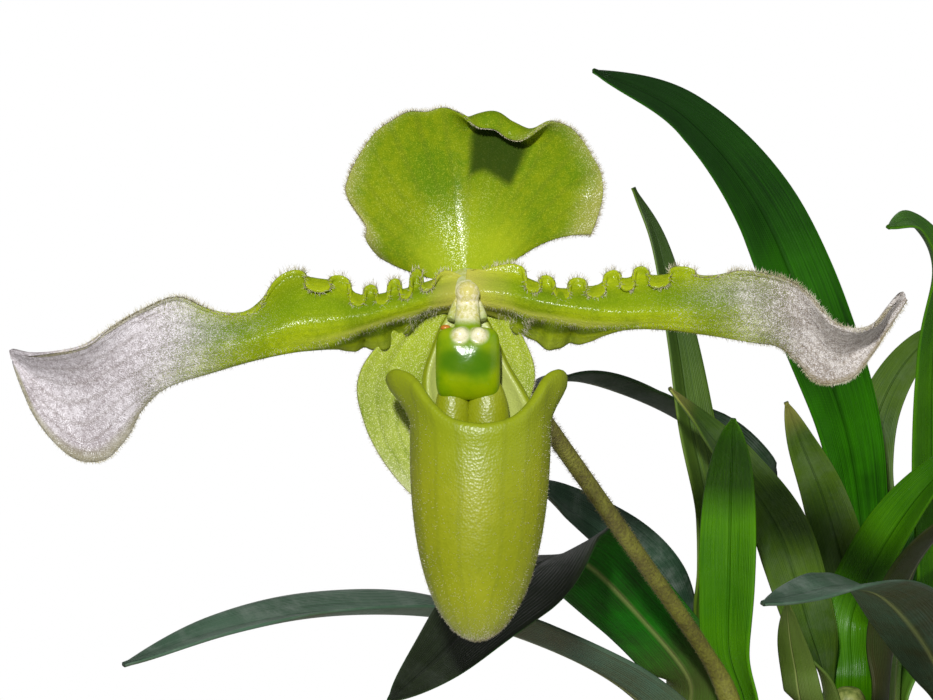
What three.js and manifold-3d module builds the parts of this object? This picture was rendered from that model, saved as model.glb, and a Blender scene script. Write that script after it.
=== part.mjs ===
// A potted paphiopedilum, a slipper orchid with one flower. Five growths of strap leaves stand in a clay
// pot of bark, and a leaning hairy stem carries the flower out over the rim. Millimetres, +Z up. The
// flower looks toward -Y, and the origin is the middle of the underside of the pot.
import * as THREE from "three";
import { mergeVertices } from "three/addons/utils/BufferGeometryUtils.js";
import Module from "manifold-3d";

const wasm = await Module();
wasm.setup();

// Driving dimensions

const GAP = 0.3; // between pieces that touch
const SOIL = 92; // height of the top of the bark

const POT = { foot: 43, shoulder: 56, rim: 60, height: 100, band: 20, wall: 5, floor: 7, sides: 36 };
const DRAIN = { holes: 5, radius: 4, circle: 26 };
const CHIPS = { count: 34, ring: 47, size: 5.5, clear: 9, seed: 41 };

// Each growth is a short stem with leaves round it; the leaf bases clasp it in nested sleeves.
const GROWTHS = { a: [-15, -22], b: [15, 29], c: [30, -12], d: [9, 5], e: [-18, 3] };
const STEM = { radius: 3.2, tipRadius: 2, foot: 80, top: 131 };
const SLEEVE = { first: 4.2, step: 1.4, reach: 1.05 }; // inner radius, spacing, half-width over radius

// A leaf has a growth, the heading of its base in degrees, its rank among the sleeves and the height that
// its sleeve rises above the bark. points is the midrib past the sleeve. face says which way the upper
// side looks along it, as [share of the length, x, y, z]. fold is the slope in degrees of its two halves,
// and taper says how soon it narrows: a large one makes a blunt tip.
const LEAVES = {
  leaf_a1: {
    growth: "a", heading: 55, rank: 0, rise: 40, width: 11.6, fold: 30, taper: 9,
    points: [
      [-16, -18, 146], [-16.2, -18, 159], [-16.4, -20, 173], [-16.6, -23, 183], [-16.8, -26, 190.5],
    ],
    face: [[0.6, -0.35, -0.9, 0], [1, -0.2, -0.9, 0.3]],
  },
  leaf_a2: {
    growth: "a", heading: 235, rank: 1, rise: 30, width: 14, fold: 34, taper: 5,
    points: [
      [-25, -32, 134], [-38, -38, 147], [-54, -42, 156], [-69, -56, 164.2], [-86, -74, 170],
      [-101, -88, 171.5], [-115, -100, 170],
    ],
    face: [[0.4, 0.1, 0.35, 0.93], [0.7, 0, -0.05, 1], [1, 0, -0.15, 1]],
  },
  leaf_a3: {
    growth: "a", heading: 316, rank: 2, rise: 20, width: 15, fold: 28, taper: 6,
    points: [[0, -40, 124], [18, -58, 138], [40, -76, 140], [60, -92, 124]],
    face: [[1, 0.4, -0.3, 0.85]],
  },
  leaf_b1: {
    growth: "b", heading: 95, rank: 0, rise: 45, width: 19, fold: 24, taper: 3.8,
    points: [
      [15, 33, 150], [11, 31, 173], [2.5, 25, 196], [-8.8, 17, 221], [-24, 4, 239.5],
      [-41, -10, 249.5],
    ],
    face: [[0.5, 0.3, -0.9, 0.3], [1, 0.1, -0.8, 0.6]],
  },
  leaf_b2: {
    growth: "b", heading: 222, rank: 1, rise: 40, width: 13, fold: 33, taper: 4,
    points: [[10, 24, 147], [5, 20, 164], [0, 17, 176], [-3, 15, 184]],
    face: [[0.6, 0.1, -0.95, 0.3], [1, 0, -0.95, 0.3]],
  },
  leaf_b3: {
    growth: "b", heading: 178, rank: 2, rise: 36, width: 17, fold: 26, taper: 3.5,
    points: [
      [4.5, 32, 142], [-1, 30.5, 153], [-7, 27, 163], [-18, 27, 175], [-32.5, 12, 186], [-46, -6, 193],
      [-56, -22, 190],
    ],
    face: [[0.45, -0.1, -0.35, 0.9], [1, -0.5, -0.4, 0.7]],
  },
  leaf_b4: {
    growth: "b", heading: 80, rank: 1, rise: 38, width: 11.5, fold: 28, taper: 4,
    points: [[18.5, 44.5, 149], [18, 49, 163], [21, 54, 175], [29, 60, 185], [42, 66, 191]],
    face: [[1, -0.3, -0.8, 0.5]],
  },
  leaf_b5: {
    growth: "b", heading: 322, rank: 2, rise: 36, width: 14, fold: 26, taper: 5,
    points: [
      [28, 26, 143], [28, 28, 155], [27, 29, 169], [26, 26, 190], [25, 19, 209], [19, 9, 219],
      [13, 0, 220],
    ],
    face: [[0.4, 0.5, -0.85, 0.1], [0.8, 0.4, -0.7, 0.6], [1, 0.2, -0.5, 0.85]],
  },
  leaf_b6: {
    growth: "b", heading: 55, rank: 3, rise: 24, width: 15, fold: 26, taper: 5,
    points: [[27, 44, 133], [39, 60, 152], [56, 76, 161], [74, 90, 154]],
    face: [[1, 0.2, 0.1, 1]],
  },
  leaf_c1: {
    growth: "c", heading: 0, rank: 0, rise: 42, width: 14, fold: 26, taper: 5,
    points: [[36, -11, 148], [44, -12, 172], [55, -14, 198], [70, -17, 216]],
    face: [[0.6, -0.2, -0.9, 0.2], [1, -0.3, -0.8, 0.5]],
  },
  leaf_c2: {
    growth: "c", heading: 245, rank: 1, rise: 34, width: 16, fold: 26, taper: 5,
    points: [
      [24, -25, 138], [14, -48, 157], [3, -74, 173], [-6, -93, 180], [-14, -104, 182],
      [-20, -111, 183],
    ],
    face: [[0.5, -0.1, 0.5, 0.85], [0.8, 0, 0.05, 1], [1, 0.1, -0.35, 0.93]],
  },
  leaf_c3: {
    growth: "c", heading: 80, rank: 1, rise: 38, width: 14, fold: 28, taper: 4,
    points: [[37, -1, 144], [45, 8, 168], [54, 18, 194], [66, 30, 212]],
    face: [[1, -0.4, -0.6, 0.6]],
  },
  leaf_c4: {
    growth: "c", heading: 25, rank: 2, rise: 28, width: 15, fold: 26, taper: 5,
    points: [[43, -5, 135], [58, 4, 154], [77, 14, 168], [98, 24, 170]],
    face: [[1, -0.1, -0.1, 1]],
  },
  leaf_c5: {
    growth: "c", heading: 325, rank: 3, rise: 20, width: 16, fold: 26, taper: 5,
    points: [[46, -24, 124], [64, -36, 142], [86, -49, 148], [106, -60, 137], [118, -68, 122]],
    face: [[1, 0.2, -0.2, 0.95]],
  },
  leaf_d1: {
    growth: "d", heading: 185, rank: 0, rise: 34, width: 14, fold: 30, taper: 4,
    points: [[2, 5, 140], [-4.5, 4, 160], [-13.5, -3, 175], [-21, -8, 185], [-27, -13, 193]],
    face: [[0.5, 0.1, -0.9, 0.35], [1, -0.1, -0.5, 0.85]],
  },
  leaf_d2: {
    growth: "d", heading: 80, rank: 1, rise: 36, width: 14, fold: 28, taper: 5,
    points: [[11, 17, 142], [17, 13, 158], [25, 9, 171], [34, 4, 180]],
    face: [[0.6, -0.5, -0.6, 0.6], [1, -0.2, -0.4, 0.9]],
  },
  leaf_d3: {
    growth: "d", heading: 0, rank: 2, rise: 30, width: 14, fold: 28, taper: 5,
    points: [[17, 6, 138], [19, 1, 154], [25, -6, 166], [33, -14, 173]],
    face: [[0.6, -0.6, 0.4, 0.7], [1, -0.2, 0.1, 0.95]],
  },
  leaf_d4: {
    growth: "d", heading: 210, rank: 1, rise: 26, width: 10.5, fold: 26, taper: 4,
    points: [[-1.5, -10.5, 133], [-3, -11, 140], [-4.5, -13.5, 147], [-5.5, -16, 154]],
    face: [[1, 0.3, 0.9, 0.2]],
  },
  leaf_e1: {
    growth: "e", heading: 62, rank: 0, rise: 47, width: 13.5, fold: 36, taper: 3.4,
    points: [
      [-18, 6, 156.5], [-18.5, 9, 166.5], [-21.5, 12, 180.5], [-24, 15.5, 196.5], [-27.5, 19, 213.5],
      [-32, 21, 224],
    ],
    face: [[0.5, 0.6, -0.7, 0.2], [1, 0.7, -0.6, 0.3]],
  },
  leaf_e2: {
    growth: "e", heading: 184, rank: 1, rise: 35, width: 16, fold: 30, taper: 6,
    points: [
      [-23.5, 3.5, 141], [-27, 1.5, 150], [-35.5, -2.5, 160.5], [-46.5, -8.5, 170.5],
      [-52.5, -13.5, 176.5],
    ],
    face: [[0.7, -0.3, -0.5, 0.75], [1, -0.3, -0.5, 0.8]],
  },
  leaf_e3: {
    growth: "e", heading: 238, rank: 2, rise: 32, width: 17, fold: 18, taper: 6,
    points: [
      [-22.5, -9.5, 138], [-31.5, -16, 151], [-43, -32, 166.5], [-50, -57, 173.5],
      [-60.5, -83.5, 173.5], [-68, -102.5, 171.5], [-74.5, -115, 169.5],
    ],
    face: [
      [0.3, 0.1, 0.95, 0.15], [0.45, -0.5, 0.65, 0.6], [0.6, -0.3, -0.1, 0.9], [0.75, 0.35, -0.4, 0.7],
      [1, 0.4, -0.5, 0.7],
    ],
  },
};
const LEAF = { thick: 1.0, tipThick: 0.7, crease: 1.2, opening: 26, steps: 15, across: 4 };

const SCAPE = {
  radius: 1.4,
  collar: 1.9,
  points: [[-15, -22, 131.7], [-16.2, -22.2, 138], [-21, -25.5, 148], [-37, -48, 176], [-53, -72, 204]],
};
const OVARY = {
  points: [[-53.2, -72.3, 204.3], [-58, -80, 213], [-62, -90.6, 222], [-63.3, -99.9, 226.9]],
  radii: [1.6, 2.7, 2.6, 3.4],
};
const BRACT = {
  width: 9,
  base: 3.2,
  radius: 2.6,
  clasp: 4,
  fold: 35,
  taper: 2.2,
  thick: 0.7,
  points: [[-53.6, -72.8, 201.4], [-56.3, -77.1, 205.6], [-59.6, -82.3, 209.3], [-63.4, -89.6, 211.8]],
  face: [0.4, 0.57, 0.71],
};

// The flower's own frame has x to the right as it is looked at, y into its back and z up.
const FLOWER = { at: [-63, -105, 227], nod: -12 };

// A petal is four rows of points from base to tip: the crest of its upper edge, its middle, the ridge
// below that, and its lower edge.
const PETAL_RIGHT = [
  [
    [3.3, 1, 4.1], [7.9, 0.5, 3], [12.3, 0.3, 1.5], [17, 0.3, 1.5], [21.7, 0.3, 2.6], [27.8, 0.3, 3.2],
    [34, 0.3, 2.8], [39.4, 0, 3.1], [45.8, -1.2, 2.1], [49.3, -2.6, -0.3], [52.2, -3.6, -3.7],
    [55.5, -3.6, -4.7], [58.5, -2.2, -3.8], [61, 0.2, -1.2], [63.1, 2, 1.2],
  ],
  [
    [3.1, -0.5, 1.7], [8, -1.5, 0.4], [12.2, -2, -0.5], [16.9, -2.4, -1.2], [21.8, -2.8, -1.5],
    [27.6, -3, -1.2], [33.7, -3, -1.2], [39.8, -2.6, -0.8], [45.4, -1.5, -1.9], [49.2, 0.2, -4.1],
    [52.9, 1.5, -7.2], [55.9, 2.5, -7.2], [58.6, 2, -5.2], [61.4, 2, -1.7], [63.5, 2.2, 0.9],
  ],
  [
    [3, 0.2, 0], [8.3, -0.5, -2.3], [12.1, -0.8, -3.1], [17.1, -1, -3.8], [22.1, -2, -3.6],
    [27.7, -2.4, -3.4], [34.1, -2.6, -3.9], [40.3, -2.2, -4.1], [45.1, -0.5, -4.9], [48.5, 1, -7.2],
    [52, 1.5, -10.5], [55.9, 2.5, -9.6], [58.9, 3, -6.8], [61.6, 2.5, -2.5], [63.7, 2.3, 0.4],
  ],
  [
    [3.4, 1.2, -0.9], [6.8, 1.4, -4.3], [11.6, 1.6, -6.8], [16.7, 1.6, -6.1], [22.3, -1.2, -4.3],
    [27.9, -1.6, -4.2], [34.4, -1.8, -5], [40.7, -1.5, -6.1], [44.8, 0.5, -6.7], [47.8, 1.5, -9],
    [50.8, 1, -12], [55.5, 1.5, -11.5], [58.8, 2.5, -8], [61.8, 2.5, -3.4], [64, 2.3, 0],
  ],
];
const PETAL_LEFT = [
  [
    [-3.5, 1, 3.4], [-7.1, 0.5, 1.9], [-11.1, 0.3, 0.9], [-15.5, 0.3, 0.4], [-20.4, 0.3, 2.4],
    [-25.9, 0, 2.3], [-32.4, 0, -2.2], [-38.2, -0.3, -2.1], [-42.6, -1, -0.7], [-48, -2, -2.8],
    [-51.9, -3, -5.1], [-55.3, -3.2, -7.2], [-59.2, -2.5, -8], [-63.2, -1, -8.1], [-66.5, 1, -7.2],
  ],
  [
    [-3.6, -0.5, 1.4], [-7.3, -1.5, 0], [-11.3, -2, -1.2], [-15.7, -2.5, -2.2], [-20.4, -2.8, -2.6],
    [-25.6, -3, -3.2], [-31.8, -3, -5.5], [-37.5, -2.8, -6.2], [-42.9, -2, -6.5], [-48.9, -0.8, -8.4],
    [-54.2, 0.5, -11.3], [-58.3, 1.5, -12.3], [-61.4, 2, -11.6], [-64, 2, -10.2], [-66.6, 1.3, -7.9],
  ],
  [
    [-3.8, 0.2, -0.1], [-7.6, -0.5, -2], [-11.7, -0.9, -3.2], [-15.7, -1.2, -4.6], [-20.3, -1.8, -6.2],
    [-25.3, -2.4, -6.8], [-31.4, -2.6, -8.1], [-37.1, -2.4, -9.4], [-43.1, -1.5, -10.7],
    [-47.9, 0, -13.5], [-52.7, 1.2, -17.4], [-56.5, 1.5, -19.2], [-60.9, 1.5, -16.7],
    [-64.2, 1.8, -12.8], [-66.4, 1.5, -8.7],
  ],
  [
    [-4.2, 1.2, -1], [-8.2, 1.4, -3.6], [-11, 1.6, -6.4], [-15.6, 1.6, -7.2], [-20.1, 0.5, -7],
    [-25.2, -1.6, -7.4], [-31.1, -1.8, -8.7], [-36.9, -1.6, -10.4], [-43.5, -0.8, -12.6],
    [-47.3, 0.8, -15.8], [-49.6, 1.5, -19.9], [-53, 1, -23.2], [-57.6, 0.5, -22.8],
    [-62.6, 0.8, -17.6], [-66.1, 1.4, -9.9],
  ],
];
const PETAL = { thick: 0.8, along: 46, across: 6, frillEnd: [27, 35], farStart: 30, farEnd: 46 };
// Where the frilled upper edge stands up in a knob and where it hangs forward in a tongue, by turns, as x.
const FRILL_RIGHT = [7.2, 9.2, 11.4, 13.4, 15.7, 18.4, 21, 23, 24.9, 27.3, 31, 35, 41, 60];
const FRILL_LEFT = [4.5, 6, 7.6, 9.1, 10.7, 12.5, 14.2, 16, 18.4, 21.7, 25.5, 33.5, 42, 62];
const FRILL = { rise: 0.4, knob: [0.2, 1.5], tongue: [-2.2, -1.9], far: [-0.6, -0.24] }; // [y, z]

// The dorsal sepal is a fan. rays holds the length of its rays from the left edge to the right edge, and
// claw narrows or widens its waist on each side.
const DORSAL = {
  centre: [-0.5, 2.3, 1.45],
  start: 3.3,
  from: -68,
  to: 66,
  claw: [0.04, -0.12],
  lean: -9,
  arch: 24,
  rays: [
    13.6, 16.4, 17.6, 22.4, 24, 25, 26, 26.9, 27.2, 27.5, 26.8, 27, 25.5,
    25.5, 25.8, 24.8, 25, 27.5, 28.5, 28.1, 27.3, 26.5, 24.9, 22.6, 20.3,
  ],
  hood: { middle: 12.5, spread: 13, bend: 165, from: 0.78, more: 4.5 },
  back: 2.6,
  wave: 0.7,
  ripples: 9,
  thick: 0.8,
};

const SYNSEPAL = {
  midrib: [[-1, 3.1, -2.8], [-3, 4.4, -10], [-3.8, 5, -18], [-3, 4.2, -26], [-2, 2.8, -33]],
  half: [6.4, 12.6, 11.4, 7.6, 1],
  cup: 0.01,
  rib: 0.35,
  thick: 0.8,
};

// The pouch is an oval cup. rim holds its height going round from the front past an ear to the back.
const POUCH = {
  x: 1.7,
  y: -9.2,
  half: [10, 8.7],
  rimAt: -18,
  bottom: -49,
  lean: -3,
  sway: -0.5,
  power: 2.4,
  wall: 0.9,
  rim: [-18.2, -17.8, -16.6, -14.2, -11.6, -10.9, -12.2, -15, -16.8, -14.6, -8.6, -3.2, -2.3],
  ear: 6.5,
  earFlare: 1.7,
  claw: 2.2,
  clawHeight: 9,
  around: 32,
  down: 10,
};

const COLUMN = {
  trunk: { at: [-0.3, 1], radius: 2.9, from: -1.6, to: 3.9 },
  boss: { at: [-0.4, -2.2, 1.1], half: [2.1, 1.9, 2.1] },
  neck: { points: [[0, -2, 0.2], [0, -3.3, -2.4], [0, -4.6, -5]], radii: [1.3, 1.9], stretch: 1.5, x: -0.15 },
  shield: { at: [-0.1, -5, -9.2], half: [4.75, 1.9, 5.4], square: 0.55, narrow: 0.1 },
  bumps: { x: [-1.15, 1.45], y: -6.1, z: -5.2, half: [1.25, 0.9, 1.25] },
  wings: { points: [[1.6, -0.8, -0.2], [2.3, -1.6, -1.6], [2.8, -2.3, -2.9]], radius: 0.9, x: -0.2 },
};

const COLOURS = {
  clay: 0x9c5636,
  bark: 0x4b3424,
  stem: 0x8d9a45,
  leaf: 0x2d6b22,
  sepal: 0x9cb52c,
  petal: 0xa5ad62,
  lip: 0xaaa437,
  column: 0x8fc22a,
  hairy: 0x6f6d36,
};

// Small helpers

const { degToRad, clamp } = THREE.MathUtils;
const vector = (p) => new THREE.Vector3(...p);
const smooth = (x) => THREE.MathUtils.smoothstep(x, 0, 1);
const curve = (points) => new THREE.CatmullRomCurve3(points.map(vector), false, "catmullrom", 0.5);

// The value at t, from 0 to 1, of a smooth line through a list of numbers.
function through(list, t) {
  const last = list.length - 1;
  const place = clamp(t, 0, 1) * last;
  const i = Math.min(Math.floor(place), last - 1);
  const u = place - i;
  const b = list[i];
  const c = list[i + 1];
  const a = i > 0 ? list[i - 1] : 2 * b - c;
  const d = i + 2 <= last ? list[i + 2] : 2 * c - b;
  const cubic = 3 * b - a - 3 * c + d;
  return 0.5 * (2 * b + (c - a) * u + (2 * a - 5 * b + 4 * c - d) * u * u + cubic * u * u * u);
}
const throughPoints = (points, t) => vector([0, 1, 2].map((k) => through(points.map((p) => p[k]), t)));

// A repeatable scatter of numbers from 0 to 1, so that every run gives the same part.
function scatter(seed) {
  let state = seed;
  return () => {
    state = (state * 16807) % 2147483647;
    return state / 2147483647;
  };
}

// Joins equal vertices, drops triangles that have shrunk to a line, and turns the faces outward.
function closed(positions, index) {
  const raw = new THREE.BufferGeometry();
  raw.setAttribute("position", new THREE.Float32BufferAttribute(positions, 3));
  raw.setIndex(index);
  const geometry = mergeVertices(raw, 1e-3);
  const at = (i) => new THREE.Vector3().fromBufferAttribute(geometry.attributes.position, i);
  const kept = [];
  let volume = 0;
  for (let i = 0; i < geometry.index.count; i += 3) {
    const [a, b, c] = [0, 1, 2].map((k) => geometry.index.getX(i + k));
    if (a === b || b === c || c === a) continue;
    kept.push([a, b, c]);
    volume += at(a).dot(at(b).cross(at(c)));
  }
  geometry.setIndex(kept.flatMap(([a, b, c]) => (volume < 0 ? [a, c, b] : [a, b, c])));
  geometry.computeVertexNormals();
  return geometry;
}

// A sheet about the surface at(u, v), as thick as thick(u) says, with the same diagonals on both faces.
function sheet(nu, nv, at, thick) {
  const middle = [];
  for (let i = 0; i <= nu; i++) for (let j = 0; j <= nv; j++) middle.push(at(i / nu, j / nv));
  const id = (i, j) => clamp(i, 0, nu) * (nv + 1) + clamp(j, 0, nv);
  const positions = [];
  for (const side of [0.5, -0.5]) {
    for (let i = 0; i <= nu; i++) {
      for (let j = 0; j <= nv; j++) {
        const along = middle[id(i + 1, j)].clone().sub(middle[id(i - 1, j)]);
        const across = middle[id(i, j + 1)].clone().sub(middle[id(i, j - 1)]);
        const normal = along.cross(across).normalize();
        positions.push(...middle[id(i, j)].clone().addScaledVector(normal, side * thick(i / nu)));
      }
    }
  }
  const n = middle.length;
  const index = [];
  for (let i = 0; i < nu; i++) {
    for (let j = 0; j < nv; j++) {
      const [a, b, c, d] = [id(i, j), id(i + 1, j), id(i + 1, j + 1), id(i, j + 1)];
      index.push(a, b, c, a, c, d, n + a, n + c, n + b, n + a, n + d, n + c);
    }
  }
  const edge = [];
  for (let i = 0; i < nu; i++) edge.push([id(i, 0), id(i + 1, 0)], [id(i + 1, nv), id(i, nv)]);
  for (let j = 0; j < nv; j++) edge.push([id(nu, j), id(nu, j + 1)], [id(0, j + 1), id(0, j)]);
  for (const [a, b] of edge) index.push(a, n + a, n + b, a, n + b, b);
  return closed(positions, index);
}

// A round rod along a smooth line, with its radius as a function of the share of the length.
function rod(points, radius, steps, around) {
  const line = curve(points);
  const { normals, binormals } = line.computeFrenetFrames(steps, false);
  const positions = [];
  for (let i = 0; i <= steps; i++) {
    const centre = line.getPointAt(i / steps);
    const r = radius(i / steps);
    for (let j = 0; j < around; j++) {
      const turn = (2 * Math.PI * j) / around;
      const out = normals[i].clone().multiplyScalar(r * Math.cos(turn));
      out.addScaledVector(binormals[i], r * Math.sin(turn));
      positions.push(...centre.clone().add(out));
    }
  }
  const index = [];
  for (let i = 0; i < steps; i++) {
    for (let j = 0; j < around; j++) {
      const a = i * around + j;
      const b = i * around + ((j + 1) % around);
      index.push(a, b, b + around, a, b + around, a + around);
    }
  }
  const last = steps * around;
  for (let j = 1; j < around - 1; j++) index.push(0, j + 1, j, last, last + j, last + j + 1);
  return closed(positions, index);
}

// A closed geometry as a manifold-3d solid, and such a solid as a geometry.
function toSolid(geometry) {
  const bare = new THREE.BufferGeometry();
  const flat = geometry.index ? geometry.toNonIndexed() : geometry;
  bare.setAttribute("position", flat.getAttribute("position"));
  const merged = mergeVertices(bare, 1e-3);
  const vertProperties = merged.attributes.position.array;
  const triVerts = new Uint32Array(merged.index.array);
  return new wasm.Manifold(new wasm.Mesh({ numProp: 3, vertProperties, triVerts }));
}
function toGeometry(solid) {
  const mesh = solid.getMesh();
  const geometry = new THREE.BufferGeometry();
  geometry.setAttribute("position", new THREE.Float32BufferAttribute(mesh.vertProperties, 3));
  geometry.setIndex([...mesh.triVerts]);
  geometry.computeVertexNormals();
  return geometry;
}
function turned(profile, sides) {
  const points = profile.map((p) => new THREE.Vector2(...p));
  return new THREE.LatheGeometry(points, sides).rotateX(Math.PI / 2);
}
const upright = (radius, low, high, sides, x, y) =>
  new THREE.CylinderGeometry(radius, radius, high - low, sides)
    .rotateX(Math.PI / 2)
    .translate(x, y, (low + high) / 2);
const ball = (half, sides, at) =>
  new THREE.SphereGeometry(1, sides, sides / 2).scale(...half).translate(...at);

const root = new THREE.Group();
function add(name, geometry, colour, parent = root) {
  const material = new THREE.MeshStandardMaterial({
    color: COLOURS[colour],
    roughness: 0.6,
    side: THREE.DoubleSide,
  });
  const mesh = new THREE.Mesh(geometry, material);
  mesh.name = name;
  parent.add(mesh);
}

// Pot: a tapered clay flowerpot with a rim band and drain holes

const under = POT.height - POT.band;
const outside = (z) => POT.foot + ((POT.shoulder - POT.foot) * z) / under;
const inside = (z) => outside(Math.min(z, under)) - POT.wall + Math.max(0, z - under) * 0.12;

function potSolid() {
  const profile = [
    [0, 0], [POT.foot - 1.5, 0], [POT.foot, 1.5], [outside(under - 1.5), under - 1.5],
    [outside(under), under], [POT.rim - 1.6, under + 0.6], [POT.rim - 0.8, under + 2],
    [POT.rim, POT.height - 1.5], [POT.rim - 1.2, POT.height], [inside(POT.height) + 1.2, POT.height],
    [inside(POT.height), POT.height - 1.2], [inside(under), under],
    [inside(POT.floor + 3), POT.floor + 3], [inside(POT.floor) - 3, POT.floor], [0, POT.floor],
  ];
  let pot = toSolid(turned(profile, POT.sides));
  for (let i = 0; i < DRAIN.holes; i++) {
    const turn = (2 * Math.PI * i) / DRAIN.holes;
    const [x, y] = [DRAIN.circle * Math.cos(turn), DRAIN.circle * Math.sin(turn)];
    pot = pot.subtract(toSolid(upright(DRAIN.radius, -2, POT.floor + 2, 16, x, y)));
  }
  return pot;
}
add("pot", toGeometry(potSolid()), "clay");

// Bark: what fills the pot, with loose chips on top and a hole for each growth's stem

function chip(x, y, size, random) {
  const long = size * (1.1 + 0.6 * random());
  const wide = size * (0.8 + 0.3 * random());
  const box = new THREE.BoxGeometry(long, wide, size * 0.75);
  const position = box.attributes.position;
  const shift = Array.from({ length: 8 }, () => [0, 1, 2].map(() => (random() - 0.5) * size * 0.35));
  for (let i = 0; i < position.count; i++) {
    const p = new THREE.Vector3().fromBufferAttribute(position, i);
    const corner = (p.x > 0 ? 1 : 0) + (p.y > 0 ? 2 : 0) + (p.z > 0 ? 4 : 0);
    position.setXYZ(i, ...p.add(vector(shift[corner])));
  }
  box.rotateX(0.5 * (random() - 0.5));
  box.rotateY(0.5 * (random() - 0.5));
  box.rotateZ(Math.PI * random());
  return box.translate(x, y, SOIL + 0.9);
}
function barkSolid() {
  const r = (z) => inside(z) - GAP;
  const profile = [
    [0, POT.floor + GAP], [r(POT.floor) - 3.4, POT.floor + GAP],
    [r(POT.floor + 3) - 0.2, POT.floor + 3 + GAP], [r(under), under + GAP], [r(SOIL) - 0.1, SOIL], [0, SOIL],
  ];
  let bark = toSolid(turned(profile, POT.sides));
  const random = scatter(CHIPS.seed);
  const placed = [];
  while (placed.length < CHIPS.count) {
    const turn = 2 * Math.PI * random();
    const far = CHIPS.ring * Math.sqrt(random());
    const [x, y] = [far * Math.cos(turn), far * Math.sin(turn)];
    const size = CHIPS.size * (0.7 + 0.6 * random());
    const near = ([px, py], apart) => Math.hypot(x - px, y - py) < apart;
    if (Object.values(GROWTHS).some((p) => near(p, CHIPS.clear + size))) continue;
    if (placed.some((p) => near(p, (p[2] + size) * 0.72))) continue;
    placed.push([x, y, size]);
    bark = bark.add(toSolid(chip(x, y, size, random)));
  }
  for (const [x, y] of Object.values(GROWTHS)) {
    const hole = upright(STEM.radius + GAP, STEM.foot - GAP, SOIL + STEM.foot, 16, x, y);
    bark = bark.subtract(toSolid(hole));
  }
  return bark;
}
add("bark_mix", toGeometry(barkSolid()), "bark");

// Growths: the short stems, and the leaves that clasp them

for (const [key, [x, y]] of Object.entries(GROWTHS)) {
  const profile = [
    [0, STEM.foot], [STEM.radius, STEM.foot], [STEM.radius, STEM.top - 2],
    [STEM.tipRadius, STEM.top - (key === "a" ? 0 : 0.4)], [0, STEM.top],
  ];
  const stem = turned(profile, 16).translate(x, y, 0);
  add(`growth_${key}_stem`, closed([...stem.attributes.position.array], [...stem.index.array]), "stem");
}

// The direction that the upper side looks at share u of the length, square to the midrib.
function facing(face, u, tangent) {
  let k = 0;
  while (k < face.length - 2 && u > face[k + 1][0]) k++;
  const [low, high] = [face[k], face[k + 1]];
  const normal = vector(low.slice(1)).lerp(vector(high.slice(1)), smooth((u - low[0]) / (high[0] - low[0])));
  return normal.addScaledVector(tangent, -normal.dot(tangent)).normalize();
}

// The middle surface of a blade with a midrib line. Across it the slope turns from a sleeve of the given
// radius into a V of two tilted halves. The first number runs along the midrib, in finer steps toward
// the tip, and v from edge to edge.
function bladeSurface({ points, face, width, fold, taper, radius, clasp, base }) {
  const line = curve(points);
  const length = line.getLength();
  const parts = 8;
  return (share, v) => {
    const u = share * (1.3 - 0.3 * share);
    const tangent = line.getTangentAt(u);
    const normal = facing(face, u, tangent);
    const across = new THREE.Vector3().crossVectors(normal, tangent);
    const past = u * length - clasp;
    const open = smooth(past / LEAF.opening);
    const full = base + (width / 2 - base) * smooth(past / Math.max(length * 0.4, 20));
    const half = Math.max(full * Math.pow(Math.max(1 - Math.pow(u, taper), 0), 0.75), 0.45);
    const end = (2 * v - 1) * half;
    const slope = degToRad(fold) * (1 - 0.35 * u);
    let side = 0;
    let rise = 0;
    for (let i = 0; i < parts; i++) {
      const w = (end * (i + 0.5)) / parts;
      const tilt = ((1 - open) * w) / radius + open * slope * Math.tanh(w / LEAF.crease);
      side += (Math.cos(tilt) * end) / parts;
      rise += (Math.sin(tilt) * end) / parts;
    }
    return line.getPointAt(u).addScaledVector(across, side).addScaledVector(normal, rise);
  };
}
const leafThick = (u) => LEAF.thick + (LEAF.tipThick - LEAF.thick) * u;

function leafSolid(leaf) {
  const [x, y] = GROWTHS[leaf.growth];
  const radius = SLEEVE.first + SLEEVE.step * leaf.rank;
  const heading = degToRad(leaf.heading);
  const foot = (z) => [x + radius * Math.cos(heading), y + radius * Math.sin(heading), z];
  const toAxis = [-Math.cos(heading), -Math.sin(heading), 0];
  const start = SOIL + GAP;
  const top = SOIL + leaf.rise;
  const first = leaf.points[0];
  const lift = vector(foot(top)).lerp(vector(first), 0.15);
  lift.z = top + 0.35 * (first[2] - top);
  const points = [foot(start), foot((start + top) / 2), foot(top), [...lift], ...leaf.points];
  const share = (top - start) / curve(points).getLength();
  const face = [[0, ...toAxis], [share, ...toAxis], ...leaf.face];
  const clasp = (top - start) * 0.95;
  const base = radius * SLEEVE.reach;
  const surface = bladeSurface({ ...leaf, points, face, radius, clasp, base });
  return sheet(LEAF.steps, LEAF.across, surface, leafThick);
}
for (const [name, leaf] of Object.entries(LEAVES)) add(name, leafSolid(leaf), "leaf");

// Flower stem, the ovary that the flower sits on, and the small leaf below that

const scapeRadius = (t) => SCAPE.radius + (SCAPE.collar - SCAPE.radius) * (1 - smooth((t - 0.06) / 0.12));
add("scape", rod(SCAPE.points, scapeRadius, 15, 10), "hairy");
add("ovary", rod(OVARY.points, (t) => through(OVARY.radii, t), 9, 12), "hairy");
const bractFace = [[0, ...BRACT.face], [1, ...BRACT.face]];
add("bract", sheet(8, 4, bladeSurface({ ...BRACT, face: bractFace }), () => BRACT.thick), "stem");

// Flower

const flower = new THREE.Group();
flower.position.set(...FLOWER.at);
flower.rotation.x = degToRad(FLOWER.nod);
root.add(flower);

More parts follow.
